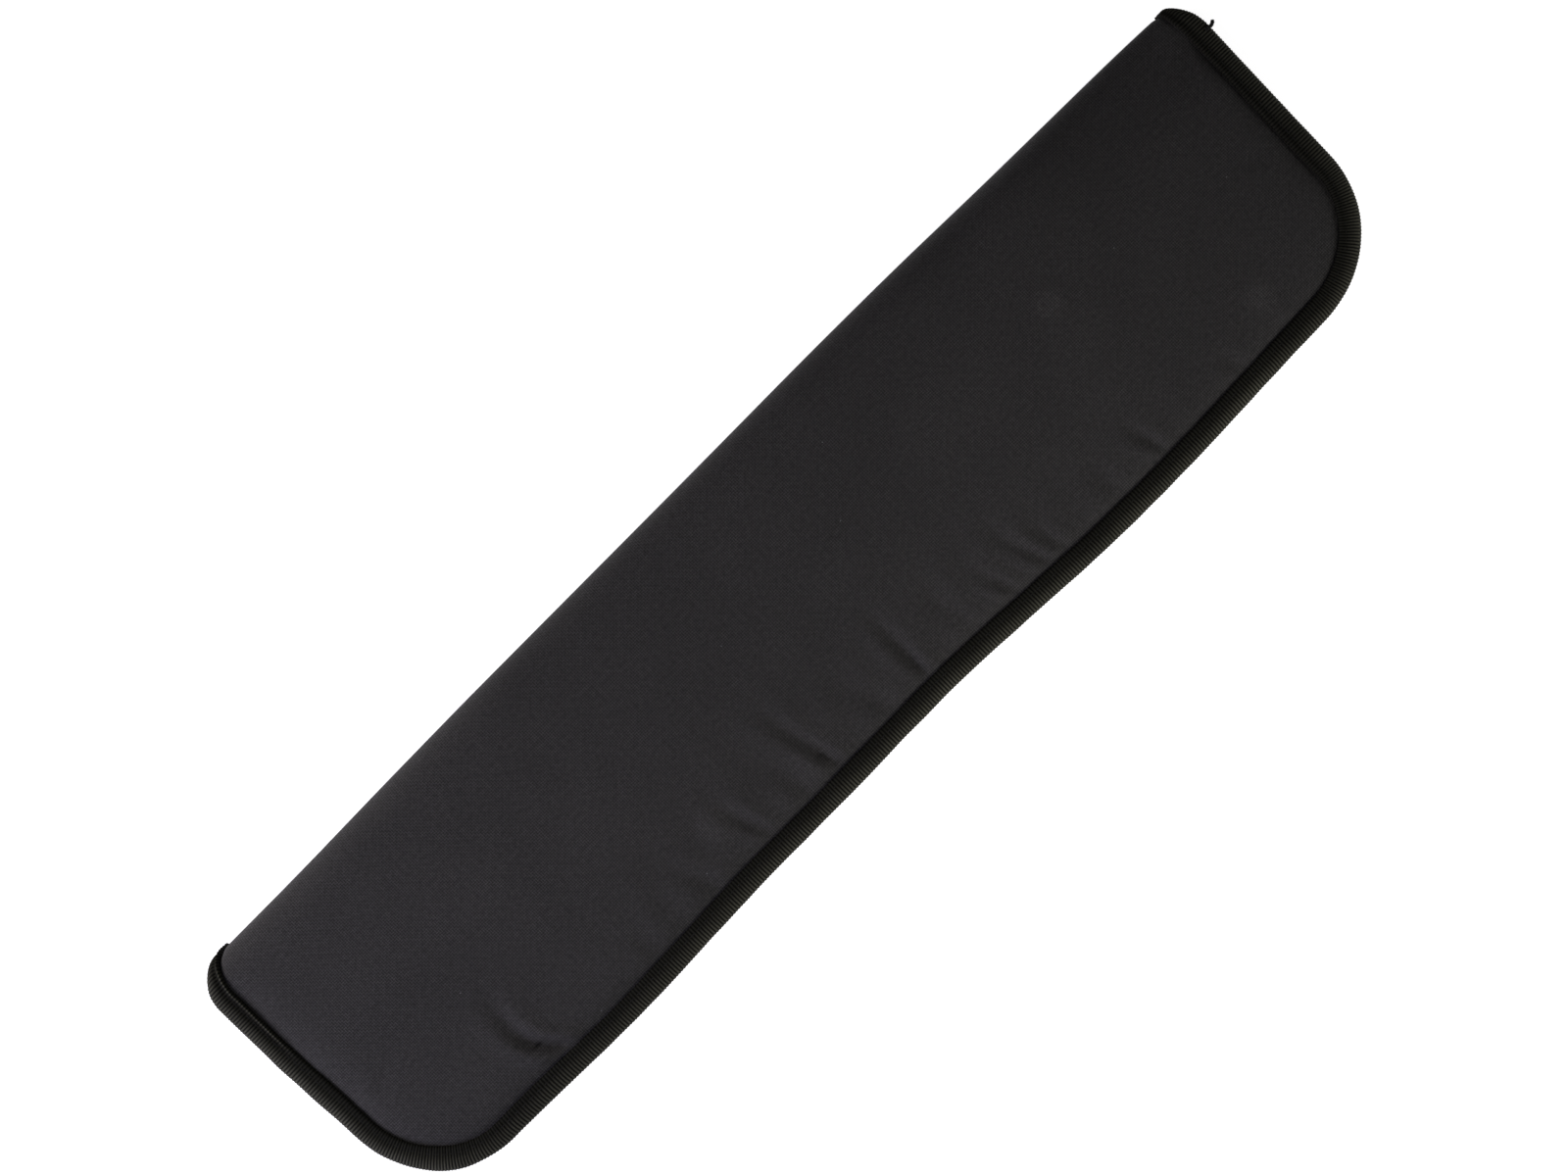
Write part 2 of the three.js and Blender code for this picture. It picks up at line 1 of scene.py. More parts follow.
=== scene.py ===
# Padded cloth knife case, lying closed with its fold to the upper left, seen from straight above.
# Lengths are written in millimetres and turned to metres where a mesh is made.
import math
from functools import partial

import bmesh
import bpy
import numpy as np
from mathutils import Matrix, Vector, noise


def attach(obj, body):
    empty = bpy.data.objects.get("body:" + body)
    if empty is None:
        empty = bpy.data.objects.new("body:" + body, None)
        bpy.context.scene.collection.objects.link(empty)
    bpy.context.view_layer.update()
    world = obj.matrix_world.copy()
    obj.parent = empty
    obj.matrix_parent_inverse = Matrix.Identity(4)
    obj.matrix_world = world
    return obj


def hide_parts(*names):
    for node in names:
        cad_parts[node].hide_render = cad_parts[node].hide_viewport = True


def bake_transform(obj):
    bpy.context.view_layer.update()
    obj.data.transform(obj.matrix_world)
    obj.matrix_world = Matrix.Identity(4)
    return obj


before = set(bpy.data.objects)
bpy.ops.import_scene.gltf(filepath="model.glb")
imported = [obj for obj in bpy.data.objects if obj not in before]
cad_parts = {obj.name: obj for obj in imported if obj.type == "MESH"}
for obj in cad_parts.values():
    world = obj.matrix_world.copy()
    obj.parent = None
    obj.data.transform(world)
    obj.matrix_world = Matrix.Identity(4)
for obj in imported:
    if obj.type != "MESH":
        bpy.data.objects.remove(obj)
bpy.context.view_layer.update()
bpy.ops.object.select_all(action="DESELECT")


# Padded halves. Each is a panel of woven nylon over a 5 mm foam sheet, cut in one with half of the
# padded fold, and drawn in all round by the stitching that holds the binding. The two halves meet
# along the middle of the fold.
MM = 0.001
CASE_LENGTH, CASE_WIDTH, CASE_THICKNESS = 456, 113, 23
CORNER_RADIUS = 38
END_SLANT = math.radians(2)
FOLD_RADIUS = 8
HEAD_DRAW_IN, FOOT_DRAW_IN = (7.5, 2), (11.5, 9)
SEAM_INSET, DRAW_IN_RUN, DRAW_IN_FALL = 8, 5, 1.6

fold_y = CASE_WIDTH / 2 - FOLD_RADIUS
corner_y = -CASE_WIDTH / 2 + CORNER_RADIUS
corner_start_y = corner_y - CORNER_RADIUS * math.sin(END_SLANT)


def end_x(y):
    return CASE_LENGTH / 2 - math.tan(END_SLANT) * (fold_y - y)


corner_x = end_x(corner_start_y) - CORNER_RADIUS * math.cos(END_SLANT)
wall_run = CASE_THICKNESS / 2 - FOLD_RADIUS
bend_run = FOLD_RADIUS * math.pi / 2
end_run = (fold_y - corner_start_y) / math.cos(END_SLANT)
corner_run = CORNER_RADIUS * (math.pi / 2 - END_SLANT)
run_starts = np.cumsum([0, wall_run, bend_run, end_run, corner_run])
edge_run = 2 * (run_starts[-1] + corner_x)


def edge_place(along, inset, depth):
    """Points of the back half by length along its bound edge, from the fold's middle at the head
    end round to the foot end, by inset from the edge and by depth from the outside."""
    along, inset, depth = np.broadcast_arrays(
        *(np.asarray(value, float) for value in (along, inset, depth)))
    at_foot = along > edge_run / 2
    near = np.where(at_foot, edge_run - along, along)
    wall, bend, end, corner, long_side = (near - start for start in run_starts)
    turn = np.clip(math.pi / 2 * (1 - bend / bend_run), 0, math.pi / 2)
    radius = FOLD_RADIUS - depth
    end_y = fold_y - np.clip(end, 0, end_run) * math.cos(END_SLANT)
    at_edge, at_seam = (np.where(at_foot, *pair) for pair in zip(FOOT_DRAW_IN, HEAD_DRAW_IN))
    draw_in = at_edge + (at_seam - at_edge) * np.clip(inset / SEAM_INSET, 0, 1)
    draw_in = draw_in * np.clip(1 - near / (run_starts[2] + DRAW_IN_RUN), 0, 1) ** DRAW_IN_FALL
    x = end_x(end_y) - inset / math.cos(END_SLANT) - draw_in
    square = inset * math.sin(END_SLANT) * np.clip(end / end_run, 0, 1)
    y = end_y + square + radius * np.sin(turn)
    z = FOLD_RADIUS - radius * np.cos(turn) + np.clip(wall_run - wall, 0, wall_run)
    angle = -(END_SLANT + np.clip(corner, 0, corner_run) / CORNER_RADIUS)
    rounded = corner > 0
    x = np.where(rounded, corner_x + (CORNER_RADIUS - inset) * np.cos(angle), x)
    x = x - np.clip(long_side, 0, None)
    y = np.where(rounded, corner_y + (CORNER_RADIUS - inset) * np.sin(angle), y)
    z = np.where(rounded, depth, z)
    return np.stack([np.where(at_foot, -x, x), y, z], axis=-1)


def ease(value):
    share = np.clip(value, 0, 1)
    return share * share * (3 - 2 * share)


# How the sewn case departs from its pattern: the long side and the fold wave in and out, and the
# foot end and its corner are blown out by the padding
LONG_SIDE_WAVE = (
    (-240, 0.0), (-205, 0.2), (-190, 0.5), (-170, 0.4), (-140, -0.5), (-120, -0.2), (-104, 0.5),
    (-76, 1.8), (-34, 1.9), (-2, 2.6), (17, 2.8), (40, 1.7), (78, -0.5), (100, -1.0), (125, -0.8),
    (145, 0.0), (171, 1.0), (196, 1.9), (240, 2.0))
FOLD_WAVE = (
    (-240, -1.5), (-180, -1.7), (-140, -0.8), (-100, -0.2), (0, 0.0), (60, 0.4), (100, 0.1),
    (140, -1.0), (200, -1.8), (240, -3.0))
WAVE_SPREAD = 9
LONG_WAVE_REACH = 50
FOLD_WAVE_FROM, FOLD_WAVE_REACH = 10, 40
FOOT_SWELL, FOOT_FROM, FOOT_REACH = 0.7, 150, 60
FOOT_BOW, FOOT_BOW_Y, FOOT_BOW_SPREAD = 0.7, 14, 18
FOOT_CORNER, FOOT_CORNER_Y, FOOT_CORNER_SPREAD = 1.5, -52, 9
wave_x = np.arange(-240, 241)


def blurred(table):
    """A wave's values at wave_x, from a table of places and values, with its corners smoothed."""
    reach = 3 * WAVE_SPREAD
    blur = np.exp(-(np.arange(-reach, reach + 1) / WAVE_SPREAD) ** 2 / 2)
    values = np.interp(wave_x, *np.array(table).T)
    return np.convolve(np.pad(values, reach, mode="edge"), blur / blur.sum(), "valid")


long_side_wave, fold_wave = blurred(LONG_SIDE_WAVE), blurred(FOLD_WAVE)


def as_sewn(points):
    x, y, z = (points[..., axis].copy() for axis in range(3))
    blown = FOOT_SWELL + FOOT_BOW * np.exp(-((y - FOOT_BOW_Y) / FOOT_BOW_SPREAD) ** 2)
    blown = blown + FOOT_CORNER * np.exp(-((y - FOOT_CORNER_Y) / FOOT_CORNER_SPREAD) ** 2)
    y = y + np.interp(x, wave_x, long_side_wave) * ease(-y / LONG_WAVE_REACH)
    y = y + np.interp(x, wave_x, fold_wave) * ease((y - FOLD_WAVE_FROM) / FOLD_WAVE_REACH)
    return np.stack([x - blown * ease((-x - FOOT_FROM) / FOOT_REACH), y, z], -1)


PAD_INSETS = np.array([5, 6.5, 8.2, 8.7, 9.5, 10.6, 12.1, 14, 16.2])
SHOULDER_START, SHOULDER_WIDTH, SHOULDER_FALL = 8.2, 8, 3.4
SHELL_EDGE_DEPTH, FOAM_EDGE_DEPTH, FOAM_DEPTH = 2.0, 3.5, 5.9
FOLD_SHOULDER, FOLD_SINK = 3.5, 1.0
FOLD_END_LEAD, FOLD_END_RUN = 2, 12
WALL_STEPS, BEND_STEPS, END_STEPS, CORNER_STEPS, LONG_STEPS = 2, 7, 34, 30, 240
RUNGS = WALL_STEPS + BEND_STEPS + END_STEPS + CORNER_STEPS


def panel_runs():
    """Lengths along the bound edge at which a panel's mesh has its stations."""
    steps = (WALL_STEPS, BEND_STEPS, END_STEPS, CORNER_STEPS)
    spans = zip(run_starts, run_starts[1:], steps)
    head = np.concatenate([np.linspace(a, b, n, endpoint=False) for a, b, n in spans])
    long_side = np.linspace(run_starts[-1], edge_run - run_starts[-1], LONG_STEPS + 1)
    return np.concatenate([head, long_side, edge_run - head[::-1]])


def panel_skin(insets, depths):
    """One skin of a panel: rings along the bound edge, then rungs across from end to end."""
    depths = depths if depths.ndim > 1 else depths[:, None]
    rings = edge_place(panel_runs()[None, :], insets[:, None], depths)
    head, foot = rings[-1, :RUNGS, None], rings[-1, :-RUNGS - 1:-1, None]
    across = np.arange(1, LONG_STEPS)[:, None] / LONG_STEPS
    rungs = head + (foot - head) * across
    return np.concatenate([rings.reshape(-1, 3), rungs.reshape(-1, 3)])


def grid_quads(grid):
    """Quads between the neighbours in a grid of point numbers."""
    corners = [grid[:-1, :-1], grid[:-1, 1:], grid[1:, 1:], grid[1:, :-1]]
    return np.stack(corners, -1).reshape(-1, 4)


def panel_quads():
    count, ring_count = 2 * RUNGS + LONG_STEPS + 1, len(PAD_INSETS)
    last = (ring_count - 1) * count
    ladder = np.zeros((RUNGS + 1, LONG_STEPS + 1), int)
    ladder[:, 0] = last + np.arange(RUNGS + 1)
    ladder[:, -1] = last + count - 1 - np.arange(RUNGS + 1)
    ladder[:RUNGS, 1:-1] = ring_count * count + np.arange(
        RUNGS * (LONG_STEPS - 1)).reshape(RUNGS, LONG_STEPS - 1)
    ladder[RUNGS] = last + RUNGS + np.arange(LONG_STEPS + 1)
    rings = np.arange(ring_count * count).reshape(ring_count, count)
    return np.concatenate([grid_quads(rings), grid_quads(ladder.T)])


def between_skins(outer, inner, quads):
    """Points and faces of a closed sheet between two skins that share one layout of quads."""
    shift = len(outer)
    edges = {}
    for a, b, c, d in quads.tolist():
        for start, end in ((a, b), (b, c), (c, d), (d, a)):
            if edges.pop((end, start), None) is None:
                edges[start, end] = True
    rim = [(end, start, start + shift, end + shift) for start, end in edges]
    faces = quads.tolist() + (quads[:, ::-1] + shift).tolist() + rim
    return np.concatenate([outer, inner]), faces


def make_active(piece):
    bpy.ops.object.select_all(action="DESELECT")
    piece.select_set(True)
    bpy.context.view_layer.objects.active = piece


def cloth_piece(name, points, faces, weave=None, sharp=50):
    """A named mesh from points in millimetres. weave gives each point's place in the flat cloth."""
    mesh = bpy.data.meshes.new(name)
    mesh.from_pydata((np.asarray(points) * MM).tolist(), [], faces)
    shaped = bmesh.new()
    shaped.from_mesh(mesh)
    bmesh.ops.recalc_face_normals(shaped, faces=shaped.faces)
    shaped.to_mesh(mesh)
    shaped.free()
    if weave is not None:
        corners = np.zeros(len(mesh.loops), int)
        mesh.loops.foreach_get("vertex_index", corners)
        layer = mesh.uv_layers.new(name="weave")
        layer.data.foreach_set("uv", (np.asarray(weave)[corners] * MM).ravel().astype(np.float32))
    piece = bpy.data.objects.new(name, mesh)
    bpy.context.collection.objects.link(piece)
    make_active(piece)
    bpy.ops.object.shade_smooth_by_angle(angle=math.radians(sharp))
    piece.select_set(False)
    return piece


# Creases in the front panel, as points on the plan with a width and a depth: pulls that run from
# the padding to the long side's stitching, soft bumps over uneven foam, and shallow ripples
# between the pulls. A pull grows and narrows towards the stitching, between raised sides.
PULLS = (
    (((-160.5, -8.5), (-162.5, -16.0), (-164.2, -23.5), (-165.0, -30.8), (-164.4, -35.6),
      (-162.4, -40.0), (-158.9, -44.0), (-154.6, -48.0)), 2.3, 2.4),
    (((-120, -28), (-112, -47)), 3.6, 0.45),
    (((-94, -22), (-90, -34), (-84, -48)), 3.0, 0.75),
    (((-68, -20), (-65, -33), (-60, -47)), 2.2, 1.15),
    (((-52, -8), (-47, -28), (-41, -46)), 4.4, 0.60),
    (((-37, -4), (-33, -27), (-28.6, -47)), 2.3, 1.45),
    (((-14, -12), (-9, -30), (-4, -46)), 4.0, 0.60),
    (((13.5, -6), (12.4, -28), (12.4, -48)), 2.2, 1.45),
    (((31, -14), (32, -30), (34, -47)), 3.6, 0.55),
    (((46, -27), (49, -38), (53, -49)), 1.9, 1.15),
    (((58, -18), (62, -34), (67, -49)), 2.0, 1.10),
    (((69, -30), (74, -48)), 1.9, 0.80),
    (((96, -26), (99, -47)), 3.4, 0.45),
    (((114, -27), (116, -36), (120, -50)), 1.9, 1.15),
    (((150, -35), (157, -48)), 2.6, 0.60),
    (((-196, -8), (-208, -14)), 3.0, 0.30),
    (((196, 2), (208, -2)), 3.0, 0.30),
)
PULL_GROWTH, PULL_WIDE, PULL_NARROWING = 1.3, 1.3, 0.6
PULL_SIDE_RISE, PULL_SIDE_AWAY, PULL_SIDE_WIDTH = 0.45, 2.1, 1.3
BUMPS = ((126, 13, 6.5, 0.35), (176, -35, 6.0, 0.40), (-70, -31, 6.0, 0.40), (-150, 20, 16, 0.25))
RIPPLE_PITCH, RIPPLE_RISE, RIPPLE_REACH, RIPPLE_LEAN = 14, 0.22, 62, 0.25
RIPPLE_WANDER, RIPPLE_WANDER_SIZE, RIPPLE_SEED = 2.2, 30, 77.0
RIPPLE_MIDDLE, RIPPLE_HALF_RUN, RIPPLE_FADE = -15, 130, 40


def slack(x, y, size, seed):
    """Smooth unevenness of hand-filled cloth, from -1 to 1, over a size in millimetres."""
    spots = zip((x / size).tolist(), (y / size).tolist())
    return np.array([noise.noise(Vector((a, b, seed))) for a, b in spots])


def crease_lift(x, y):
    """Height that creases and bumps add to a panel at a place on the plan."""
    lift = np.zeros_like(x)
    for path, width, drop in PULLS:
        nearest = np.full_like(x, np.inf)
        share = np.zeros_like(x)
        for i, ((ax, ay), (bx, by)) in enumerate(zip(path, path[1:])):
            dx, dy = bx - ax, by - ay
            t = np.clip(((x - ax) * dx + (y - ay) * dy) / (dx * dx + dy * dy), 0, 1)
            gap = np.hypot(x - ax - t * dx, y - ay - t * dy)
            share = np.where(gap < nearest, (i + t) / (len(path) - 1), share)
            nearest = np.minimum(nearest, gap)
        fade = ease(share * PULL_GROWTH)
        width = width * (PULL_WIDE - PULL_NARROWING * share)
        lift -= drop * fade * np.exp(-(nearest / width) ** 2)
        beside = (nearest - PULL_SIDE_AWAY * width) / (PULL_SIDE_WIDTH * width)
        lift += PULL_SIDE_RISE * drop * fade * np.exp(-beside ** 2)
    wander = RIPPLE_WANDER * slack(x, y, RIPPLE_WANDER_SIZE, RIPPLE_SEED)
    ripple = np.sin(2 * math.pi * (x - RIPPLE_LEAN * y) / RIPPLE_PITCH + wander)
    in_reach = ease((RIPPLE_REACH - CASE_WIDTH / 2 - y) / RIPPLE_REACH)
    in_run = ease((RIPPLE_HALF_RUN - np.abs(x - RIPPLE_MIDDLE)) / RIPPLE_FADE)
    lift += RIPPLE_RISE * ripple * in_reach * in_run
    for bx, by, width, rise in BUMPS:
        lift += rise * np.exp(-((x - bx) ** 2 + (y - by) ** 2) / width ** 2)
    return lift


def shoulder_rise(insets, width=SHOULDER_WIDTH):
    return 1 - (1 - np.clip((insets - SHOULDER_START) / width, 0, 1)) ** SHOULDER_FALL


def fold_share(along):
    """1 where the bound edge turns round the fold and 0 along the rest of it."""
    near = np.minimum(along, edge_run - along)
    return 1 - ease((near - run_starts[2] + FOLD_END_LEAD) / FOLD_END_RUN)


HEAD_DROOP = 3.2
DROOP_X, DROOP_X_REACH, DROOP_Y, DROOP_Y_REACH = 140, 75, 22, 28


def placed(points, name):
    """Points as sewn: a front piece is turned over to the top, where the padding is pressed flatter
    in the corner between head end and fold, and a back one lies flat on the table."""
    sewn = as_sewn(points)
    x, y, depth = np.moveaxis(sewn, -1, 0)
    if name.startswith("front"):
        in_corner = ease((x - DROOP_X) / DROOP_X_REACH) * ease((y - DROOP_Y) / DROOP_Y_REACH)
        outside = np.clip(1 - depth / FOAM_DEPTH, 0, 1)
        sewn[..., 2] = CASE_THICKNESS - depth - HEAD_DROOP * in_corner * outside
    else:
        sewn[..., 2] = np.maximum(depth, 0)
    return sewn


# A panel is crowned, more or less evenly filled, and puckered between its stitches
FRONT_CROWN, BACK_CROWN, CROWN_FALL = 0.8, 0.0, 4
PANEL_LEAD, PANEL_RUN = 2, 6
FILLED_RUN, CREASE_RUN = 12, 3
FILL_UNEVEN = ((0.22, 34, 0), (0.10, 11, 5))
PUCKER_RISE, PUCKER_SIZE, PUCKER_SEED = 0.16, 6.5, 9
PUCKER_INSET, PUCKER_SPREAD = 11, 5


def padded_half(name, crown, creased, seed, cut_at):
    rise = shoulder_rise(PAD_INSETS)
    at_fold = fold_share(panel_runs())
    sunk = FOLD_SINK * (1 - shoulder_rise(PAD_INSETS, FOLD_SHOULDER))
    drawn_in = SHELL_EDGE_DEPTH * (1 - rise)
    outer = panel_skin(PAD_INSETS, drawn_in[:, None] * (1 - at_fold) + sunk[:, None] * at_fold)
    inner = panel_skin(PAD_INSETS, FOAM_EDGE_DEPTH + (FOAM_DEPTH - FOAM_EDGE_DEPTH) * rise)
    x, y, z = outer.T.copy()
    on_panel = 1 - ease((y - fold_y + PANEL_LEAD) / PANEL_RUN)
    from_edge = np.minimum(y + CASE_WIDTH / 2, CASE_LENGTH / 2 - np.abs(x))
    inside = ease((from_edge - SHOULDER_START) / FILLED_RUN)
    rim = -CASE_WIDTH / 2 + SHOULDER_START + SHOULDER_WIDTH
    across = np.clip((y - rim) / (fold_y - rim), 0, 1)
    reach = CASE_LENGTH / 2 - SHOULDER_START - SHOULDER_WIDTH
    arch = crown * np.sin(math.pi * across)
    arch = arch * (1 - np.clip(np.abs(x) / reach, 0, 1) ** CROWN_FALL)
    uneven = sum(high * slack(x, y, size, seed + step) for high, size, step in FILL_UNEVEN)
    near_stitches = np.exp(-((from_edge - PUCKER_INSET) / PUCKER_SPREAD) ** 2) * on_panel
    puckers = PUCKER_RISE * near_stitches * slack(x, y, PUCKER_SIZE, seed + PUCKER_SEED)
    lift = (arch + uneven * inside) * on_panel + puckers
    if creased:
        lift += crease_lift(x, y) * ease((from_edge - SHOULDER_START) / CREASE_RUN) * on_panel
    outer[:, 2] -= lift
    fold_turn = np.arctan2(np.maximum(y - fold_y, 0), np.maximum(FOLD_RADIUS - z, 1e-6))
    around = FOLD_RADIUS * np.clip(fold_turn, 0, math.pi / 2) + np.maximum(z - FOLD_RADIUS, 0)
    developed = np.where(y > fold_y, fold_y + around, y)
    points, faces = between_skins(outer, inner, panel_quads())
    weave = np.stack([x + cut_at, developed], -1)
    return cloth_piece(name, placed(points, name), faces, np.concatenate([weave, weave]))


# The padding swells the cloth between its stitches: a short cloth simulation with the foam as a
# slight pressure. The lining's side, the seam under the binding, every stitch along it and the
# middle of the fold are held, and the swelling stays under a limit.
SWELL_FRAMES, SWELL_PRESSURE, SWELL_LIMIT = 8, 5.0, 2.0


def held_points():
    """Numbers of the points of a pad that its stitches hold."""
    count, rings = len(panel_runs()), len(PAD_INSETS)
    skin = rings * count + RUNGS * (LONG_STEPS - 1)
    ends = [ring * count + end for ring in range(rings) for end in (0, count - 1)]
    under_binding = range(2 * count)
    at_stitches = range(2 * count, 3 * count, 2)
    mid_fold = range(rings * count, rings * count + LONG_STEPS - 1)
    return [*under_binding, *at_stitches, *ends, *mid_fold, *range(skin, 2 * skin)]


def swell(piece):
    piece.vertex_groups.new(name="held").add(held_points(), 1.0, "REPLACE")
    cloth = piece.modifiers.new("swell", "CLOTH")
    cloth.settings.vertex_group_mass = "held"
    cloth.settings.use_pressure = True
    cloth.settings.uniform_pressure_force = SWELL_PRESSURE
    cloth.settings.effector_weights.gravity = 0
    cloth.collision_settings.use_collision = False
    cloth.point_cache.frame_end = SWELL_FRAMES
    for step in range(1, SWELL_FRAMES + 1):
        bpy.context.scene.frame_set(step)
    swollen = piece.evaluated_get(bpy.context.evaluated_depsgraph_get()).data
    before, after = (np.zeros(3 * len(piece.data.vertices)) for _ in range(2))
    piece.data.vertices.foreach_get("co", before)
    swollen.vertices.foreach_get("co", after)
    move = (after - before).reshape(-1, 3)
    limit = SWELL_LIMIT * MM
    move *= (limit / (limit + np.linalg.norm(move, axis=1)))[:, None]
    placed_at = before.reshape(-1, 3) + move
    placed_at[:, 2] = np.maximum(placed_at[:, 2], 0)
    piece.modifiers.remove(cloth)
    piece.vertex_groups.clear()
    piece.data.vertices.foreach_set("co", placed_at.ravel())
    piece.data.update()
    bpy.context.scene.frame_set(1)


# The two panels are cut one after the other from the same length of cloth
front_pad = padded_half("front_pad", FRONT_CROWN, creased=True, seed=3.0, cut_at=0)
back_pad = padded_half("back_pad", BACK_CROWN, creased=False, seed=21.0, cut_at=CASE_LENGTH)
swell(front_pad)
swell(back_pad)


def hex_colour(code):
    """Linear colour of an sRGB hex value."""
    parts = [int(code[i:i + 2], 16) / 255 for i in (1, 3, 5)]
    return [p / 12.92 if p <= 0.04045 else ((p + 0.055) / 1.055) ** 2.4 for p in parts] + [1]


def set_inputs(node, inputs):
    """Sets a node's inputs to values or hex colours, or links them to sockets or to other nodes'
    Fac or first outputs."""
    for key, value in inputs.items():
        if isinstance(value, bpy.types.Node):
            value = value.outputs.get("Fac") or value.outputs[0]
        if isinstance(value, bpy.types.NodeSocket):
            node.id_data.links.new(value, node.inputs[key])
        else:
            node.inputs[key].default_value = hex_colour(value) if isinstance(value, str) else value


def add_node(material, kind, inputs=None, **settings):
    node = material.node_tree.nodes.new(f"ShaderNode{kind}")
    for key, value in settings.items():
        setattr(node, key, value)
    set_inputs(node, inputs or {})
    return node


def new_material(name, shader_inputs):
    """A material, its shader and the function that adds a node to it."""
    material = bpy.data.materials.new(name)
    material.use_nodes = True
    shader = material.node_tree.nodes["Principled BSDF"]
    set_inputs(shader, shader_inputs)
    return material, shader, partial(add_node, material)


# Oxford nylon: plain weave of flat filament yarns, matt with a faint sheen, uneven in tone over a
# few centimetres. The real yarns are about 0.45 mm apart; they are drawn at nearly twice that so
# that the weave shows from a metre away.
SHELL_YARN, TONE_PATCH, RUMPLE_SIZE = 0.8, 38, 9
WAVE_UNIT = math.pi / 10
WHITE, BLACK = [1, 1, 1, 1], [0, 0, 0, 1]
shell_cloth, shader, add = new_material("oxford_nylon", {
    "Roughness": 0.78, "IOR": 1.53, "Specular IOR Level": 0.35,
    "Sheen Weight": 0.1, "Sheen Roughness": 0.5, "Sheen Tint": "#8f8d92"})
place = add("TexCoord").outputs
yarns = add("Mapping", {"Vector": place["UV"], "Scale": [1 / (SHELL_YARN * MM)] * 3})
warp, weft = (add("TexWave", {
    "Vector": yarns, "Scale": WAVE_UNIT, "Distortion": 0.0}, bands_direction=way) for way in "XY")
over = add("TexChecker", {"Vector": yarns, "Scale": 1.0, "Color1": WHITE, "Color2": BLACK})
weave_height = add("Mix", {0: over, 2: warp, 3: weft})
patches = add("TexNoise", {
    "Vector": place["Object"], "Scale": 1 / (TONE_PATCH * MM), "Detail": 3.0, "Roughness": 0.55})
slubs = add("TexNoise", {"Vector": yarns, "Scale": 0.55, "Detail": 2.0})
tone = add("Math", {0: weave_height, 1: slubs}, operation="MULTIPLY")
yarn_colour = add("Mix", {0: tone, 6: "#141313", 7: "#545152"}, data_type="RGBA")
patch_shade = add("MapRange", {
    "Value": patches, "From Min": 0.3, "From Max": 0.7, "To Min": 0.86, "To Max": 1.1})
cloth_colour = add("VectorMath", {0: yarn_colour.outputs[2], 1: patch_shade}, operation="MULTIPLY")
# paler spots over three of the bumps: their places, sizes and gains
PALE_SPOTS = ((126, 13, 5.5, 0.32), (176, -35, 5.5, 0.32), (-70, -31, 7.5, 0.26))
SPOT_CORE, SPOT_EDGE = 0.45, 1.25
for sx, sy, reach, gain in PALE_SPOTS:
    away = add("VectorMath", {0: place["UV"], 1: (sx * MM, sy * MM, 0)}, operation="DISTANCE")
    spot = add("MapRange", {
        "Value": away.outputs["Value"], "From Min": SPOT_CORE * reach * MM,
        "From Max": SPOT_EDGE * reach * MM, "To Min": 1 + gain, "To Max": 1.0},
        interpolation_type="SMOOTHSTEP")
    cloth_colour = add("VectorMath", {0: cloth_colour, 1: spot}, operation="MULTIPLY")
# lint: a pale fleck 0.3 mm across in a few of the 14 mm cells
LINT_CELL, LINT_SIZE, LINT_FREE = 14, 0.16, 0.97
cells = add("TexVoronoi", {
    "Vector": place["UV"], "Scale": 1 / (LINT_CELL * MM)}, voronoi_dimensions="2D")
fleck = add("Math", {0: cells.outputs["Distance"], 1: LINT_SIZE / LINT_CELL}, operation="LESS_THAN")
cell_draw = add("SeparateColor", {"Color": cells.outputs["Color"]})
chosen = add("Math", {0: cell_draw.outputs["Red"], 1: LINT_FREE}, operation="GREATER_THAN")
lint = add("Math", {0: fleck, 1: chosen}, operation="MULTIPLY")
linted = add("Mix", {0: lint, 6: cloth_colour, 7: "#77777b"}, data_type="RGBA")
rumple = add("TexNoise", {
    "Vector": place["Object"], "Scale": 1 / (RUMPLE_SIZE * MM), "Detail": 2.0})
rumple_bump = add("Bump", {"Height": rumple, "Strength": 0.35, "Distance": 0.6 * MM})
weave_bump = add("Bump", {
    "Height": weave_height, "Strength": 0.55, "Distance": 0.22 * MM, "Normal": rumple_bump})
set_inputs(shader, {"Base Color": linted.outputs[2], "Normal": weave_bump})

# The ends of each bend of the fold, about its diagonal, are worked out from a reach of half the
# length of cloth that bends, and are not used: a piece only has its placing baked into its mesh.
DIAGONAL = math.sin(math.pi / 4)
FOLD_MID = (fold_y + FOLD_RADIUS * DIAGONAL, FOLD_RADIUS * (1 - DIAGONAL))


def bend_at_fold(piece, half_name, reach):
    step = reach * DIAGONAL
    y, z = FOLD_MID
    ends = [(0, y + side * step, z + side * step) for side in (-1, 1)]
    if half_name == "front_half":
        ends = [(px, py, CASE_THICKNESS - pz) for px, py, pz in ends]
    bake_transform(piece)


PAD_BEND = 4.0
for pad, half_name, hidden in (
        (front_pad, "front_half", ("front_shell", "front_foam", "spine_shell", "spine_foam")),
        (back_pad, "back_half", ("back_shell", "back_foam"))):
    pad.data.materials.append(shell_cloth)
    bend_at_fold(pad, half_name, PAD_BEND)
    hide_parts(*hidden)


# Linings. Each half is faced inside with brushed polyester knit, 0.8 mm thick, laid over the foam,
# carried round half of the fold and caught under the binding's inner leg.
LINING_THICKNESS = 0.8
LINING_EDGE_DEPTH, LINING_DEPTH = 3.7, 6.1
NAP_RISE, NAP_SIZE, NAP_FREE, NAP_RUN = 0.12, 9, 4, 6
LINING_BEND = 3.0


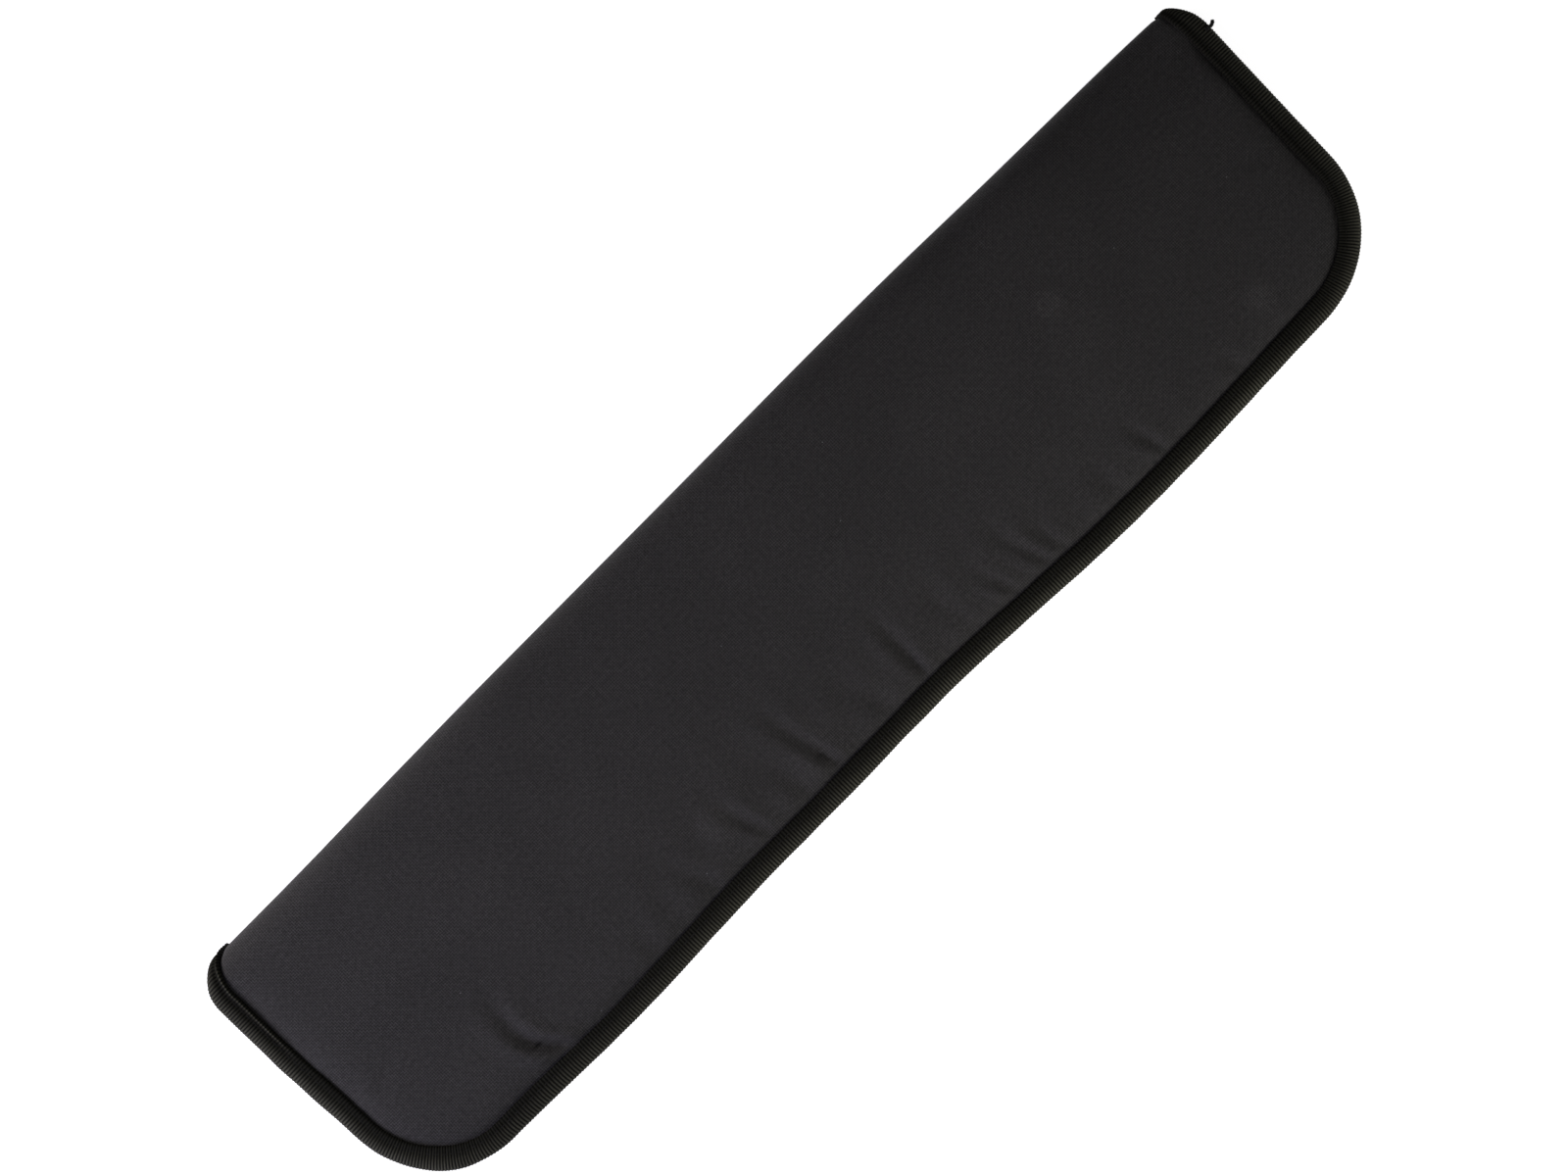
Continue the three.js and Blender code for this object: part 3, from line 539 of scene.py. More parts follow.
def lining_half(name, seed):
    depths = LINING_EDGE_DEPTH + (LINING_DEPTH - LINING_EDGE_DEPTH) * shoulder_rise(PAD_INSETS)
    under = panel_skin(PAD_INSETS, depths)
    face = panel_skin(PAD_INSETS, depths + LINING_THICKNESS)
    x, y, z = under.T
    weave = np.stack([x, y + np.maximum(z - FOLD_RADIUS, 0)], -1)
    off_fold = ease((fold_y - NAP_FREE - y) / NAP_RUN)
    face[:, 2] += NAP_RISE * slack(x, y, NAP_SIZE, seed) * off_fold
    points, faces = between_skins(under, face, panel_quads())
    return cloth_piece(name, placed(points, name), faces, np.concatenate([weave, weave]))


# Brushed knit: a soft nap of 1.6 mm tufts over fine wales, matt, with a fuzzy pale edge where it
# turns away, and brushed one way and the other over 26 mm. The wales are about 0.7 mm apart.
WALE, NAP_TUFT, BRUSHED_PATCH = 0.7, 1.6, 26
lining_cloth, shader, add = new_material("brushed_knit", {
    "Roughness": 0.95, "Specular IOR Level": 0.15, "IOR": 1.5,
    "Sheen Weight": 0.35, "Sheen Roughness": 0.45, "Sheen Tint": "#77777f"})
place = add("TexCoord").outputs
wales = add("Mapping", {"Vector": place["UV"], "Scale": [1 / (WALE * MM)] * 3})
ribs = add("TexWave", {
    "Vector": wales, "Scale": WAVE_UNIT, "Distortion": 1.5, "Detail": 1.0}, bands_direction="X")
nap = add("TexNoise", {
    "Vector": place["UV"], "Scale": 1 / (NAP_TUFT * MM), "Detail": 4.0, "Roughness": 0.7})
brushed = add("TexNoise", {"Vector": place["UV"], "Scale": 1 / (BRUSHED_PATCH * MM), "Detail": 2.0})
nap_tone = add("Math", {0: nap, 1: brushed}, operation="ADD")
nap_share = add("MapRange", {"Value": nap_tone, "From Min": 0.7, "From Max": 1.3})
nap_colour = add("Mix", {0: nap_share, 6: "#2c2c30", 7: "#47474d"}, data_type="RGBA")
nap_height = add("Math", {0: ribs, 1: nap}, operation="ADD")
nap_bump = add("Bump", {"Height": nap_height, "Strength": 0.5, "Distance": 0.2 * MM})
set_inputs(shader, {"Base Color": nap_colour.outputs[2], "Normal": nap_bump})

# The knit is cut 446 mm long and 106 mm from the long side to the middle of the fold, with two
# rounded corners
for name, half_name, hidden, pad, seed in (
        ("back_lining_cloth", "back_half", ("back_lining",), back_pad, 40.0),
        ("front_lining_cloth", "front_half", ("front_lining", "spine_lining"), front_pad, 50.0)):
    lining = lining_half(name, seed)
    lining.data.materials.append(lining_cloth)
    bend_at_fold(lining, half_name, LINING_BEND)
    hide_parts(*hidden)


# Binding. A 22 mm grosgrain tape is folded over the edges of shell, foam, lining and zip tape and
# sewn through all of them. It runs round three sides and turns over both ends of the fold, where
# it is eased in. Its end is turned under and laid over its start at the front's foot end.
BINDING_FACE = (
    (7.9, 1.74), (7.85, 1.3), (7.5, 0.85), (6.95, 0.55), (6.3, 0.64), (5.5, 0.72), (4.8, 0.62),
    (4.0, 0.42), (3.0, 0.5), (1.9, 0.95), (1.0, 1.65), (0.3, 2.6), (0.0, 3.65), (0.2, 4.5),
    (0.7, 5.2), (1.6, 5.75), (2.8, 6.08), (4.3, 6.2), (5.9, 6.2), (6.6, 6.14), (6.6, 5.6))
BINDING_BACK = (
    (5.0, 5.55), (2.6, 5.4), (1.7, 4.8), (1.35, 3.65), (1.7, 2.5), (2.6, 1.9), (5.0, 1.78))
OUTER_LEG_DEPTH, LIP_FROM, LIP_RUN = 3, 3, 5
RIB_PITCH, RIB_HEIGHT, RIB_SAMPLES = 1.15, 0.24, 4
EASE_PITCH, EASE_HEIGHT, CORNER_LEAD, CORNER_RUN = 5.2, 0.22, 6, 10
FOLD_PROUD, FOLD_GATHER, FOLD_GATHER_SIZE = 0.9, 0.3, 2.6
ROLL_RISE, ROLL_SIZE, LIP_DRIFT, LIP_DRIFT_SIZE = 0.16, 9, 0.28, 21
TUCK_RUN, TUCK_START, TUCK_RISE, TUCK_DIP = 56, 18, 0.6, 0.4
TUCK_RIDGE, TUCK_VALLEY = (6.6, 7.2), (5.0, 6.0)
# girths from the tape's lip over which its painted shade fades out
LIP_SHADE_FULL, LIP_SHADE_CLEAR = 2.2, 9.0
BINDING_BEND = 4.0


def smooth_draw(values, size, seed):
    return np.array([noise.noise(Vector((value / size, seed, 0.5))) for value in values.tolist()])


def unit(vectors):
    return vectors / np.linalg.norm(vectors, axis=-1)[..., None]


def lengths_along(line):
    """Length from a line's first point to each of its points."""
    return np.concatenate([[0], np.cumsum(np.linalg.norm(np.diff(line, axis=0), axis=1))])


def tube_faces(rings, sides):
    """Faces of a tube of rings of points, closed at both ends."""
    ring = np.arange(rings * sides).reshape(rings, sides)
    quads = grid_quads(np.concatenate([ring, ring[:, :1]], axis=1)).tolist()
    return quads + [ring[0].tolist()[::-1], ring[-1].tolist()]


def swept_tape(name, along, inset, depth, girth, sharp):
    """A tape swept along the bound edge, from the insets and depths of its section."""
    points = placed(edge_place(along[:, None], inset, depth), name)
    weave = np.stack(np.broadcast_arrays(along[:, None], girth), -1)
    return cloth_piece(
        name, points.reshape(-1, 3), tube_faces(*points.shape[:2]), weave.reshape(-1, 2), sharp)


def binding_half(name, seed):
    along = np.linspace(0, edge_run, int(edge_run / RIB_PITCH) * RIB_SAMPLES + 1)
    outline = np.array(BINDING_FACE + BINDING_BACK)
    on_face = np.where(np.arange(len(outline)) < len(BINDING_FACE), 1.0, 0.0)
    outer_leg = outline[:, 1] < OUTER_LEG_DEPTH
    edge = np.roll(outline, -1, axis=0) - np.roll(outline, 1, axis=0)
    normal = unit(np.stack([edge[:, 1], -edge[:, 0]], -1))
    normal *= np.sign(((outline - outline.mean(axis=0)) * normal).sum(1))[:, None]
    rib = RIB_HEIGHT / 2 * np.cos(2 * math.pi * along / RIB_PITCH)
    near = np.minimum(along, edge_run - along)
    in_corner = ease((near - run_starts[3] + CORNER_LEAD) / CORNER_RUN)
    in_corner = in_corner * ease((run_starts[4] + CORNER_LEAD - near) / CORNER_RUN)
    at_fold = fold_share(along)
    gather = EASE_HEIGHT * in_corner * np.sin(2 * math.pi * along / EASE_PITCH)
    gather += FOLD_GATHER * at_fold * smooth_draw(along, FOLD_GATHER_SIZE, seed + 3)
    roll = ROLL_RISE * smooth_draw(along, ROLL_SIZE, seed)
    drift = LIP_DRIFT * smooth_draw(along, LIP_DRIFT_SIZE, seed + 7)
    lift = (rib + roll)[:, None] * on_face
    toward_lip = ease((outline[:, 0] - LIP_FROM) / LIP_RUN) * outer_leg * on_face
    inset = outline[:, 0] + normal[:, 0] * lift + drift[:, None] * toward_lip
    depth = outline[:, 1] + normal[:, 1] * lift - np.abs(gather)[:, None] * toward_lip
    depth = depth - FOLD_PROUD * at_fold[:, None] * outer_leg
    girth = np.broadcast_to(lengths_along(outline), inset.shape)
    if name.startswith("front"):
        tucked = ease((TUCK_RUN - (edge_run - along)) / TUCK_START)[:, None] * outer_leg
        ridge, valley = (tucked * ((outline[:, 0] > low) & (outline[:, 0] < high))
                         for low, high in (TUCK_RIDGE, TUCK_VALLEY))
        depth = depth - TUCK_RISE * ridge + TUCK_DIP * valley
        # the tuck's ridge is painted in the unshaded tone: a painted highlight along it
        girth = girth + (LIP_SHADE_CLEAR - girth) * ridge
    return swept_tape(name, along, inset, depth, girth, sharp=75)


# Grosgrain: a silky filament tape with firm cross ribs, black with an olive cast. The ribs are
# painted lighter and the grooves darker, a painted highlight and painted shade, and the tape is
# painted darker towards its lip, a painted shade where the padded panel overhangs it.
RUB_PATCH = 24
grosgrain, shader, add = new_material("grosgrain_tape", {
    "Roughness": 0.8, "IOR": 1.53, "Specular IOR Level": 0.08})
place = add("TexCoord").outputs
ribbing = add("Mapping", {"Vector": place["UV"], "Scale": [1 / (RIB_PITCH * MM)] * 3})
ribs = add("TexWave", {
    "Vector": ribbing, "Scale": WAVE_UNIT, "Distortion": 0.0,
    "Phase Offset": math.pi}, bands_direction="X")
threads = add("TexNoise", {"Vector": ribbing, "Scale": 2.2, "Detail": 2.0})
rub = add("TexNoise", {"Vector": place["Object"], "Scale": 1 / (RUB_PATCH * MM), "Detail": 2.0})
rib_wear = add("Math", {0: threads, 1: rub}, operation="ADD")
across = add("SeparateXYZ", {"Vector": place["UV"]})
# painted shade: the tape darker from its nose towards its lip, where the panel's edge overhangs it
lip_shade = add("MapRange", {
    "Value": across.outputs["Y"], "From Min": LIP_SHADE_FULL * MM, "From Max": LIP_SHADE_CLEAR * MM,
    "To Min": 0.15, "To Max": 0.8}, interpolation_type="SMOOTHSTEP")
# painted highlight on the rib crests and painted shade in the grooves, over a random tone
rib_crest = add("Math", {0: ribs, 1: rib_wear}, operation="MULTIPLY")
rib_tone = add("Math", {0: rib_crest, 1: lip_shade}, operation="MULTIPLY")
rib_colour = add("Mix", {0: rib_tone, 6: "#030302", 7: "#5b5a4f"}, data_type="RGBA")
thread_bump = add("Bump", {"Height": threads, "Strength": 0.35, "Distance": 0.12 * MM})
set_inputs(shader, {"Base Color": rib_colour.outputs[2], "Normal": thread_bump})

for name, half_name, hidden, seed in (
        ("back_binding_tape", "back_half", ("back_binding",), 60.0),
        ("front_binding_tape", "front_half",
         ("front_binding", "spine_binding_head", "spine_binding_foot"), 70.0)):
    binding = binding_half(name, seed)
    binding.data.materials.append(grosgrain)
    bend_at_fold(binding, half_name, BINDING_BEND)
    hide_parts(*hidden)


# Lockstitch. One row of black polyester thread holds the binding, 2.4 mm inside its outer lip, and
# shows as a row of short stitches on the outside and on the inner leg.
STITCH_PITCH, STITCH_LENGTH, STITCH_RADIUS, STITCH_LIFT = 3.2, 2.5, 0.18, 0.10
STITCH_END, STITCH_MIDDLE = 0.6, 0.4
STITCH_ROWS = ((5.5, 0.78, -1), (5.7, 6.2, 1))
STITCH_RINGS, STITCH_SIDES = 5, 5


def repeated(faces, count, size):
    """Faces of a count of like shapes that have a size of points each."""
    shifts = range(0, count * size, size)
    return [[index + shift for index in face] for shift in shifts for face in faces]


def circle(sides):
    """Cosines and sines round a circle, as two columns."""
    angle = 2 * math.pi * np.arange(sides) / sides
    return np.cos(angle)[:, None], np.sin(angle)[:, None]


def stitch_rows(name, rows):
    """Short thread arcs in rows, each given by the arcs' starts, ends and upward directions."""
    starts, ends, ups = (np.concatenate(part) for part in zip(*rows))
    share = np.linspace(0, 1, STITCH_RINGS)
    arc = np.sin(math.pi * share)
    run = ends - starts
    side = unit(np.cross(run, ups))
    middle = starts[:, None] + run[:, None] * share[:, None]
    middle = middle + ups[:, None] * ((arc - 0.5) * 2 * STITCH_LIFT)[:, None]
    girth = STITCH_RADIUS * (STITCH_END + STITCH_MIDDLE * arc)
    level, upright = circle(STITCH_SIDES)
    ring = level * side[:, None, None] + upright * ups[:, None, None]
    points = middle[:, :, None] + ring * girth[:, None, None]
    one = tube_faces(STITCH_RINGS, STITCH_SIDES)
    faces = repeated(one, len(starts), STITCH_RINGS * STITCH_SIDES)
    return cloth_piece(name, points.reshape(-1, 3), faces, sharp=80)


def binding_stitches(name):
    mids = np.arange(STITCH_PITCH, edge_run - STITCH_PITCH, STITCH_PITCH)
    rows = []
    for inset, depth, way in STITCH_ROWS:
        start, end = (placed(edge_place(mids + shift, inset, depth), name)
                      for shift in (-STITCH_LENGTH / 2, STITCH_LENGTH / 2))
        above, below = (placed(edge_place(mids, inset, level), name)
                        for level in (depth + way, depth))
        rows.append((start, end, unit(above - below)))
    return stitch_rows(name, rows)


# Spun polyester thread: near black, slightly glossy, with the twist of its plies 0.5 mm apart
PLY_TWIST = 0.5
thread, shader, add = new_material("polyester_thread", {
    "Roughness": 0.7, "IOR": 1.57, "Specular IOR Level": 0.2})
place = add("TexCoord").outputs
twist = add("TexNoise", {"Vector": place["Object"], "Scale": 1 / (PLY_TWIST * MM), "Detail": 1.0})
twist_colour = add("Mix", {0: twist, 6: "#060605", 7: "#131310"}, data_type="RGBA")
twist_bump = add("Bump", {"Height": twist, "Strength": 0.4, "Distance": 0.1 * MM})
set_inputs(shader, {"Base Color": twist_colour.outputs[2], "Normal": twist_bump})

for name, half_name in (("back_stitching", "back_half"), ("front_stitching", "front_half")):
    row = binding_stitches(name)
    row.data.materials.append(thread)
    bend_at_fold(row, half_name, BINDING_BEND)


# Thread tail. The end of the binding's sewing thread was left long where the seam starts, and
# curls out over the edge of the head end.
TAIL_PATH = (
    (225.6, 39.7, 20.45), (226.9, 39.5, 20.35), (228.0, 39.5, 20.05), (228.7, 39.7, 19.75),
    (229.3, 40.0, 19.55), (229.7, 40.5, 19.45))
TAIL_RADIUS, TAIL_RINGS, TAIL_SIDES = 0.6, 31, 7
FRAY, FRAY_STEP = 0.25, 1.9


def thread_tail(name):
    path = np.array(TAIL_PATH)
    spots = np.linspace(0, len(path) - 1, TAIL_RINGS)
    way = np.stack([np.interp(spots, np.arange(len(path)), part) for part in path.T], -1)
    way[1:-1] = (way[:-2] + 2 * way[1:-1] + way[2:]) / 4
    run = unit(np.gradient(way, axis=0))
    side = unit(np.cross(run, (0, 0, 1)))
    up = np.cross(side, run)
    frayed = TAIL_RADIUS * (1 + FRAY * np.sin(np.arange(len(way)) * FRAY_STEP))
    level, upright = circle(TAIL_SIDES)
    ring = level * side[:, None] + upright * up[:, None]
    points = way[:, None] + ring * frayed[:, None, None]
    return cloth_piece(name, points.reshape(-1, 3), tube_faces(TAIL_RINGS, TAIL_SIDES))


tail = thread_tail("thread_tail")
tail.data.materials.append(thread)
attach(tail, "front_half")


# Zip tapes. A woven tape is sewn in under each binding's inner leg and turns up towards the other
# half, to carry a row of teeth on its beaded edge.
TAPE_SECTION = (
    (2.6, 4.75), (7.2, 4.75), (7.5, 4.85), (7.6, 5.15), (7.6, 7.7), (7.3, 7.78), (7.0, 7.7),
    (7.0, 5.4), (2.6, 5.3))
ZIP_END_Y = 45.5
TAPE_STEP = 1.6


def run_at(y):
    """Length along the bound edge from the middle of the fold to where an end passes y."""
    return run_starts[2] + (fold_y - y) / math.cos(END_SLANT)


def zip_tape(name):
    start = run_at(ZIP_END_Y)
    along = np.linspace(start, edge_run - start, int((edge_run - 2 * start) / TAPE_STEP) + 1)
    section = np.array(TAPE_SECTION)
    return swept_tape(name, along, *section.T, lengths_along(section), sharp=60)


# Herringbone zip tape: dense matt polyester, its diagonal ribs about 0.6 mm apart
TAPE_RIB = 0.6
tape_cloth, shader, add = new_material("herringbone_tape", {
    "Roughness": 0.8, "IOR": 1.53, "Specular IOR Level": 0.3})
place = add("TexCoord").outputs
slope = add("Mapping", {
    "Vector": place["UV"], "Scale": [1 / (TAPE_RIB * MM)] * 3, "Rotation": (0, 0, math.pi / 4)})
twill = add("TexWave", {
    "Vector": slope, "Scale": WAVE_UNIT, "Distortion": 0.4}, bands_direction="X")
twill_colour = add("Mix", {0: twill, 6: "#121214", 7: "#242428"}, data_type="RGBA")
twill_bump = add("Bump", {"Height": twill, "Strength": 0.5, "Distance": 0.15 * MM})
set_inputs(shader, {"Base Color": twill_colour.outputs[2], "Normal": twill_bump})

for name, half_name, hidden in (
        ("back_zip_cloth", "back_half", "back_zip_tape"),
        ("front_zip_cloth", "front_half", "front_zip_tape")):
    tape = zip_tape(name)
    tape.data.materials.append(tape_cloth)
    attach(tape, half_name)
    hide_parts(hidden)


# Zip teeth. Each is moulded in acetal on to the tape's bead: a root that grips it and a rounded
# head, 2.2 mm long, one every 4.8 mm. The front row stops at the mouth of the parked slider.
TOOTH_PITCH, TOOTH_LENGTH, TOOTH_WIDTH = 4.8, 2.2, 2.4
ZIP_INSET = 7.3
CHAIN_DEPTH, ROOT_DEPTH, TIP_DEPTH = 7.9, 8.9, 10.2
SLIDER_BACK_Y, SLIDER_MOUTH_Y, FOOT_STOP_Y = 38.8, 26.2, 42.6
TOOTH_WAIST, TOOTH_BEVEL = (0.72, 0.94, 1), 0.28
CHAIN_STEPS, HALF_STEP = 4000, 0.5


def one_tooth():
    """Points and faces of a tooth about its foot, x along the zip and z towards its tip."""
    height, waist = TIP_DEPTH - CHAIN_DEPTH, ROOT_DEPTH - CHAIN_DEPTH
    bpy.ops.mesh.primitive_cube_add(size=1)
    tooth = bpy.context.object
    bpy.ops.object.mode_set(mode="EDIT")
    bpy.ops.transform.resize(value=(TOOTH_LENGTH, TOOTH_WIDTH, height))
    bpy.ops.transform.translate(value=(0, 0, height / 2))
    bpy.ops.mesh.bisect(plane_co=(0, 0, waist), plane_no=(0, 0, 1))
    shape = bmesh.from_edit_mesh(tooth.data)
    for vert in shape.verts:
        vert.select = abs(vert.co.z - waist) < 1e-4
    shape.select_flush_mode()
    bmesh.update_edit_mesh(tooth.data)
    bpy.ops.transform.resize(value=TOOTH_WAIST)
    bpy.ops.mesh.select_all(action="SELECT")
    bpy.ops.mesh.bevel(offset=TOOTH_BEVEL, segments=2)
    bpy.ops.object.mode_set(mode="OBJECT")
    points = np.array([vert.co[:] for vert in tooth.data.vertices])
    faces = [list(face.vertices) for face in tooth.data.polygons]
    spare = tooth.data
    bpy.data.objects.remove(tooth)
    bpy.data.meshes.remove(spare)
    return points, faces


tooth_points, tooth_faces = one_tooth()


def tooth_row(name, first_y):
    fine = np.linspace(run_at(first_y), edge_run - run_at(FOOT_STOP_Y), CHAIN_STEPS)
    length = lengths_along(edge_place(fine, ZIP_INSET, CHAIN_DEPTH))
    mids = np.arange(TOOTH_LENGTH / 2, length[-1], TOOTH_PITCH)
    along = np.interp(mids, length, fine)
    before, foot, after = (edge_place(along + step, ZIP_INSET, CHAIN_DEPTH)
                           for step in (-HALF_STEP, 0, HALF_STEP))
    run = unit(after - before)
    out = np.stack([run[:, 1], -run[:, 0], np.zeros(len(run))], -1)
    points = foot[:, None] + (
        tooth_points[:, 0:1] * run[:, None] + tooth_points[:, 1:2] * out[:, None]
        + tooth_points[:, 2:3] * np.array((0, 0, 1.0)))
    faces = repeated(tooth_faces, len(along), len(tooth_points))
    return cloth_piece(name, placed(points, name).reshape(-1, 3), faces, sharp=35)


# Moulded acetal: black, smooth and slightly waxy, with flow marks 2.5 mm apart
FLOW_MARK = 2.5
acetal, shader, add = new_material("moulded_acetal", {"IOR": 1.48, "Specular IOR Level": 0.5})
place = add("TexCoord").outputs
flow = add("TexNoise", {"Vector": place["Object"], "Scale": 1 / (FLOW_MARK * MM), "Detail": 2.0})
flow_colour = add("Mix", {0: flow, 6: "#0e0e10", 7: "#1d1d20"}, data_type="RGBA")
flow_gloss = add("MapRange", {"Value": flow, "To Min": 0.28, "To Max": 0.5})
set_inputs(shader, {"Base Color": flow_colour.outputs[2], "Roughness": flow_gloss})

for name, half_name, hidden, first_y in (
        ("back_tooth_row", "back_half", "back_zip_teeth", SLIDER_BACK_Y),
        ("front_tooth_row", "front_half", "front_zip_teeth", SLIDER_MOUTH_Y)):
    row = tooth_row(name, first_y)
    row.data.materials.append(acetal)
    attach(row, half_name)
    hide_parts(hidden)


# Slider, pull and stops. All are die-cast or pressed zinc with satin nickel plate: the slider's two
# plates on their wedge, a pull that hangs in the slider's bridge, and clips closed over the tapes'
# ends. Their edges are rounded by tumbling.
EDGE_ROUND = {"zip_slider": 0.22, "zip_pull": 0.25, "back_zip_stop_head": 0.12,
              "back_zip_stop_foot": 0.12, "front_zip_stop_foot": 0.12}
METAL_BODY = {"zip_slider": "slider", "zip_pull": "pull", "front_zip_stop_foot": "front_half"}
WELD_GAP, FLAT_ANGLE, EDGE_ANGLE, SMOOTH_ANGLE = 0.002, 2, 40, 35


def tumbled(node_name):
    """A copy of a node's mesh with its flats made whole and its edges rounded."""
    metal = bpy.data.objects.new(f"{node_name}_metal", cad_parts[node_name].data.copy())
    bpy.context.collection.objects.link(metal)
    metal.data.materials.clear()
    make_active(metal)
    bpy.ops.mesh.customdata_custom_splitnormals_clear()
    bpy.ops.object.mode_set(mode="EDIT")
    bpy.ops.mesh.select_all(action="SELECT")
    bpy.ops.mesh.remove_doubles(threshold=WELD_GAP * MM)
    bpy.ops.mesh.dissolve_limited(angle_limit=math.radians(FLAT_ANGLE))
    bpy.ops.object.mode_set(mode="OBJECT")
    rounding = metal.modifiers.new("rounding", "BEVEL")
    rounding.width = EDGE_ROUND[node_name] * MM
    rounding.segments = 2
    rounding.limit_method = "ANGLE"
    rounding.angle_limit = math.radians(EDGE_ANGLE)
    bpy.ops.object.modifier_apply(modifier="rounding")
    bpy.ops.object.shade_smooth_by_angle(angle=math.radians(SMOOTH_ANGLE))
    metal.select_set(False)
    return metal


# Satin nickel: a warm grey metal with fine tumbling marks half a millimetre apart and duller,
# handled patches of about 4 mm
TUMBLE_MARK, HANDLED_PATCH = 0.5, 4
nickel, shader, add = new_material("satin_nickel", {"Metallic": 1.0})
place = add("TexCoord").outputs
handled = add("TexNoise", {
    "Vector": place["Object"], "Scale": 1 / (HANDLED_PATCH * MM), "Detail": 3.0})
marks = add("TexNoise", {
    "Vector": place["Object"], "Scale": 1 / (TUMBLE_MARK * MM), "Detail": 3.0, "Roughness": 0.7})
plate_colour = add("Mix", {0: handled, 6: "#a39f99", 7: "#bdb9b2"}, data_type="RGBA")
plate_gloss = add("MapRange", {
    "Value": handled, "From Min": 0.3, "From Max": 0.7, "To Min": 0.24, "To Max": 0.42})
mark_bump = add("Bump", {"Height": marks, "Strength": 0.12, "Distance": 0.05 * MM})
set_inputs(shader, {
    "Base Color": plate_colour.outputs[2], "Roughness": plate_gloss, "Normal": mark_bump})

for node_name in EDGE_ROUND:
    metal = tumbled(node_name)
    metal.data.materials.append(nickel)
    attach(metal, METAL_BODY.get(node_name, "back_half"))
    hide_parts(node_name)


# Elastic bands. Two 38 mm bands of woven elastic lie across the back half's lining to hold the
# knives. Each end is turned under by 8 mm and sewn down with two rows of stitches.
BAND_WIDTH, BAND_THICKNESS, BAND_TUCK, TUCK_GAP = 38, 1.1, 8, 0.05
BAND_FROM_Y, BAND_TO_Y = -32.5, 34.5
BAND_LOW = 7.15
BAND_PLACES = {"elastic_band_head": 95, "elastic_band_foot": -115}
TURN_STEPS, FLAT_STEPS = 7, 12
SLOPE_TOP, SLOPE_FOOT = ((1, 0), (-0.6, -0.15)), ((-2.4, 0.1), (-4, 0))
CORD_PITCH, CORD_HEIGHT, CORD_SAMPLES = 1.4, 0.1, 4
SELVEDGE, SELVEDGE_THINNING = 1.2, 0.35
BAND_SEAMS, SEAM_START, SEAM_STOP = (1.8, 6), 2, 1.5


def band_line():
    """Middle line of a band from side to side as y and depth, with both ends turned under."""
    low = BAND_LOW + BAND_THICKNESS / 2
    high = BAND_LOW + BAND_THICKNESS * 1.5 + TUCK_GAP
    turn = (high - low) / 2
    angles = np.linspace(-math.pi / 2, math.pi / 2, TURN_STEPS)
    bend = [(BAND_TO_Y - turn + turn * math.cos(angle), low + turn + turn * math.sin(angle))
            for angle in angles]
    tuck_y = BAND_TO_Y - BAND_TUCK
    under = [(tuck_y, low), (BAND_TO_Y - BAND_TUCK / 2, low)]
    slope = [(tuck_y + step, level + rise)
             for level, steps in ((high, SLOPE_TOP), (low, SLOPE_FOOT)) for step, rise in steps]
    half_line = np.array(under + bend + slope)
    middle = (BAND_FROM_Y + BAND_TO_Y) / 2
    flat = np.array([(y, low) for y in np.linspace(half_line[-1, 0], middle, FLAT_STEPS)[1:]])
    half_line = np.concatenate([half_line, flat])
    other = half_line[-2::-1] * (-1, 1) + (2 * middle, 0)
    return np.concatenate([half_line, other])


def elastic_band(name, x):
    line = band_line()
    half = BAND_WIDTH / 2
    across = np.linspace(-half, half, int(BAND_WIDTH / CORD_PITCH) * CORD_SAMPLES + 1)
    run = unit(np.gradient(line, axis=0))
    normal = np.stack([run[:, 1], -run[:, 0]], -1)
    ribbed = 1 + CORD_HEIGHT * np.cos(2 * math.pi * across / CORD_PITCH)
    thinned = 1 - SELVEDGE_THINNING * ease((np.abs(across) - half + SELVEDGE) / SELVEDGE)
    half_thick = BAND_THICKNESS / 2 * ribbed * thinned
    skins = []
    for side in (-1, 1):
        yz = line[:, None] + side * half_thick[None, :, None] * normal[:, None, :]
        xs = np.broadcast_to(across[None, :, None] + x, yz[..., :1].shape)
        skins.append(np.concatenate([xs, yz], -1).reshape(-1, 3))
    grid = np.arange(len(line) * len(across)).reshape(len(line), len(across))
    points, faces = between_skins(*skins, grid_quads(grid))
    length = lengths_along(line)
    weave = np.stack(np.broadcast_arrays(across[None, :], length[:, None]), -1).reshape(-1, 2)
    return cloth_piece(name, points, faces, np.concatenate([weave, weave]), sharp=60)


def band_stitches(name, x):
    top = BAND_LOW + 2 * BAND_THICKNESS + TUCK_GAP
    mids = np.arange(-BAND_WIDTH / 2 + SEAM_START, BAND_WIDTH / 2 - SEAM_STOP, STITCH_PITCH) + x
    reach = np.array((STITCH_LENGTH / 2, 0, 0))
    up = np.tile((0, 0, 1.0), (len(mids), 1))
    near, far = BAND_SEAMS
    rows = []
    for y in (BAND_FROM_Y + near, BAND_FROM_Y + far, BAND_TO_Y - far, BAND_TO_Y - near):
        level = np.stack([mids, np.full_like(mids, y), np.full_like(mids, top)], -1)
        rows.append((level - reach, level + reach, up))
    return stitch_rows(name, rows)


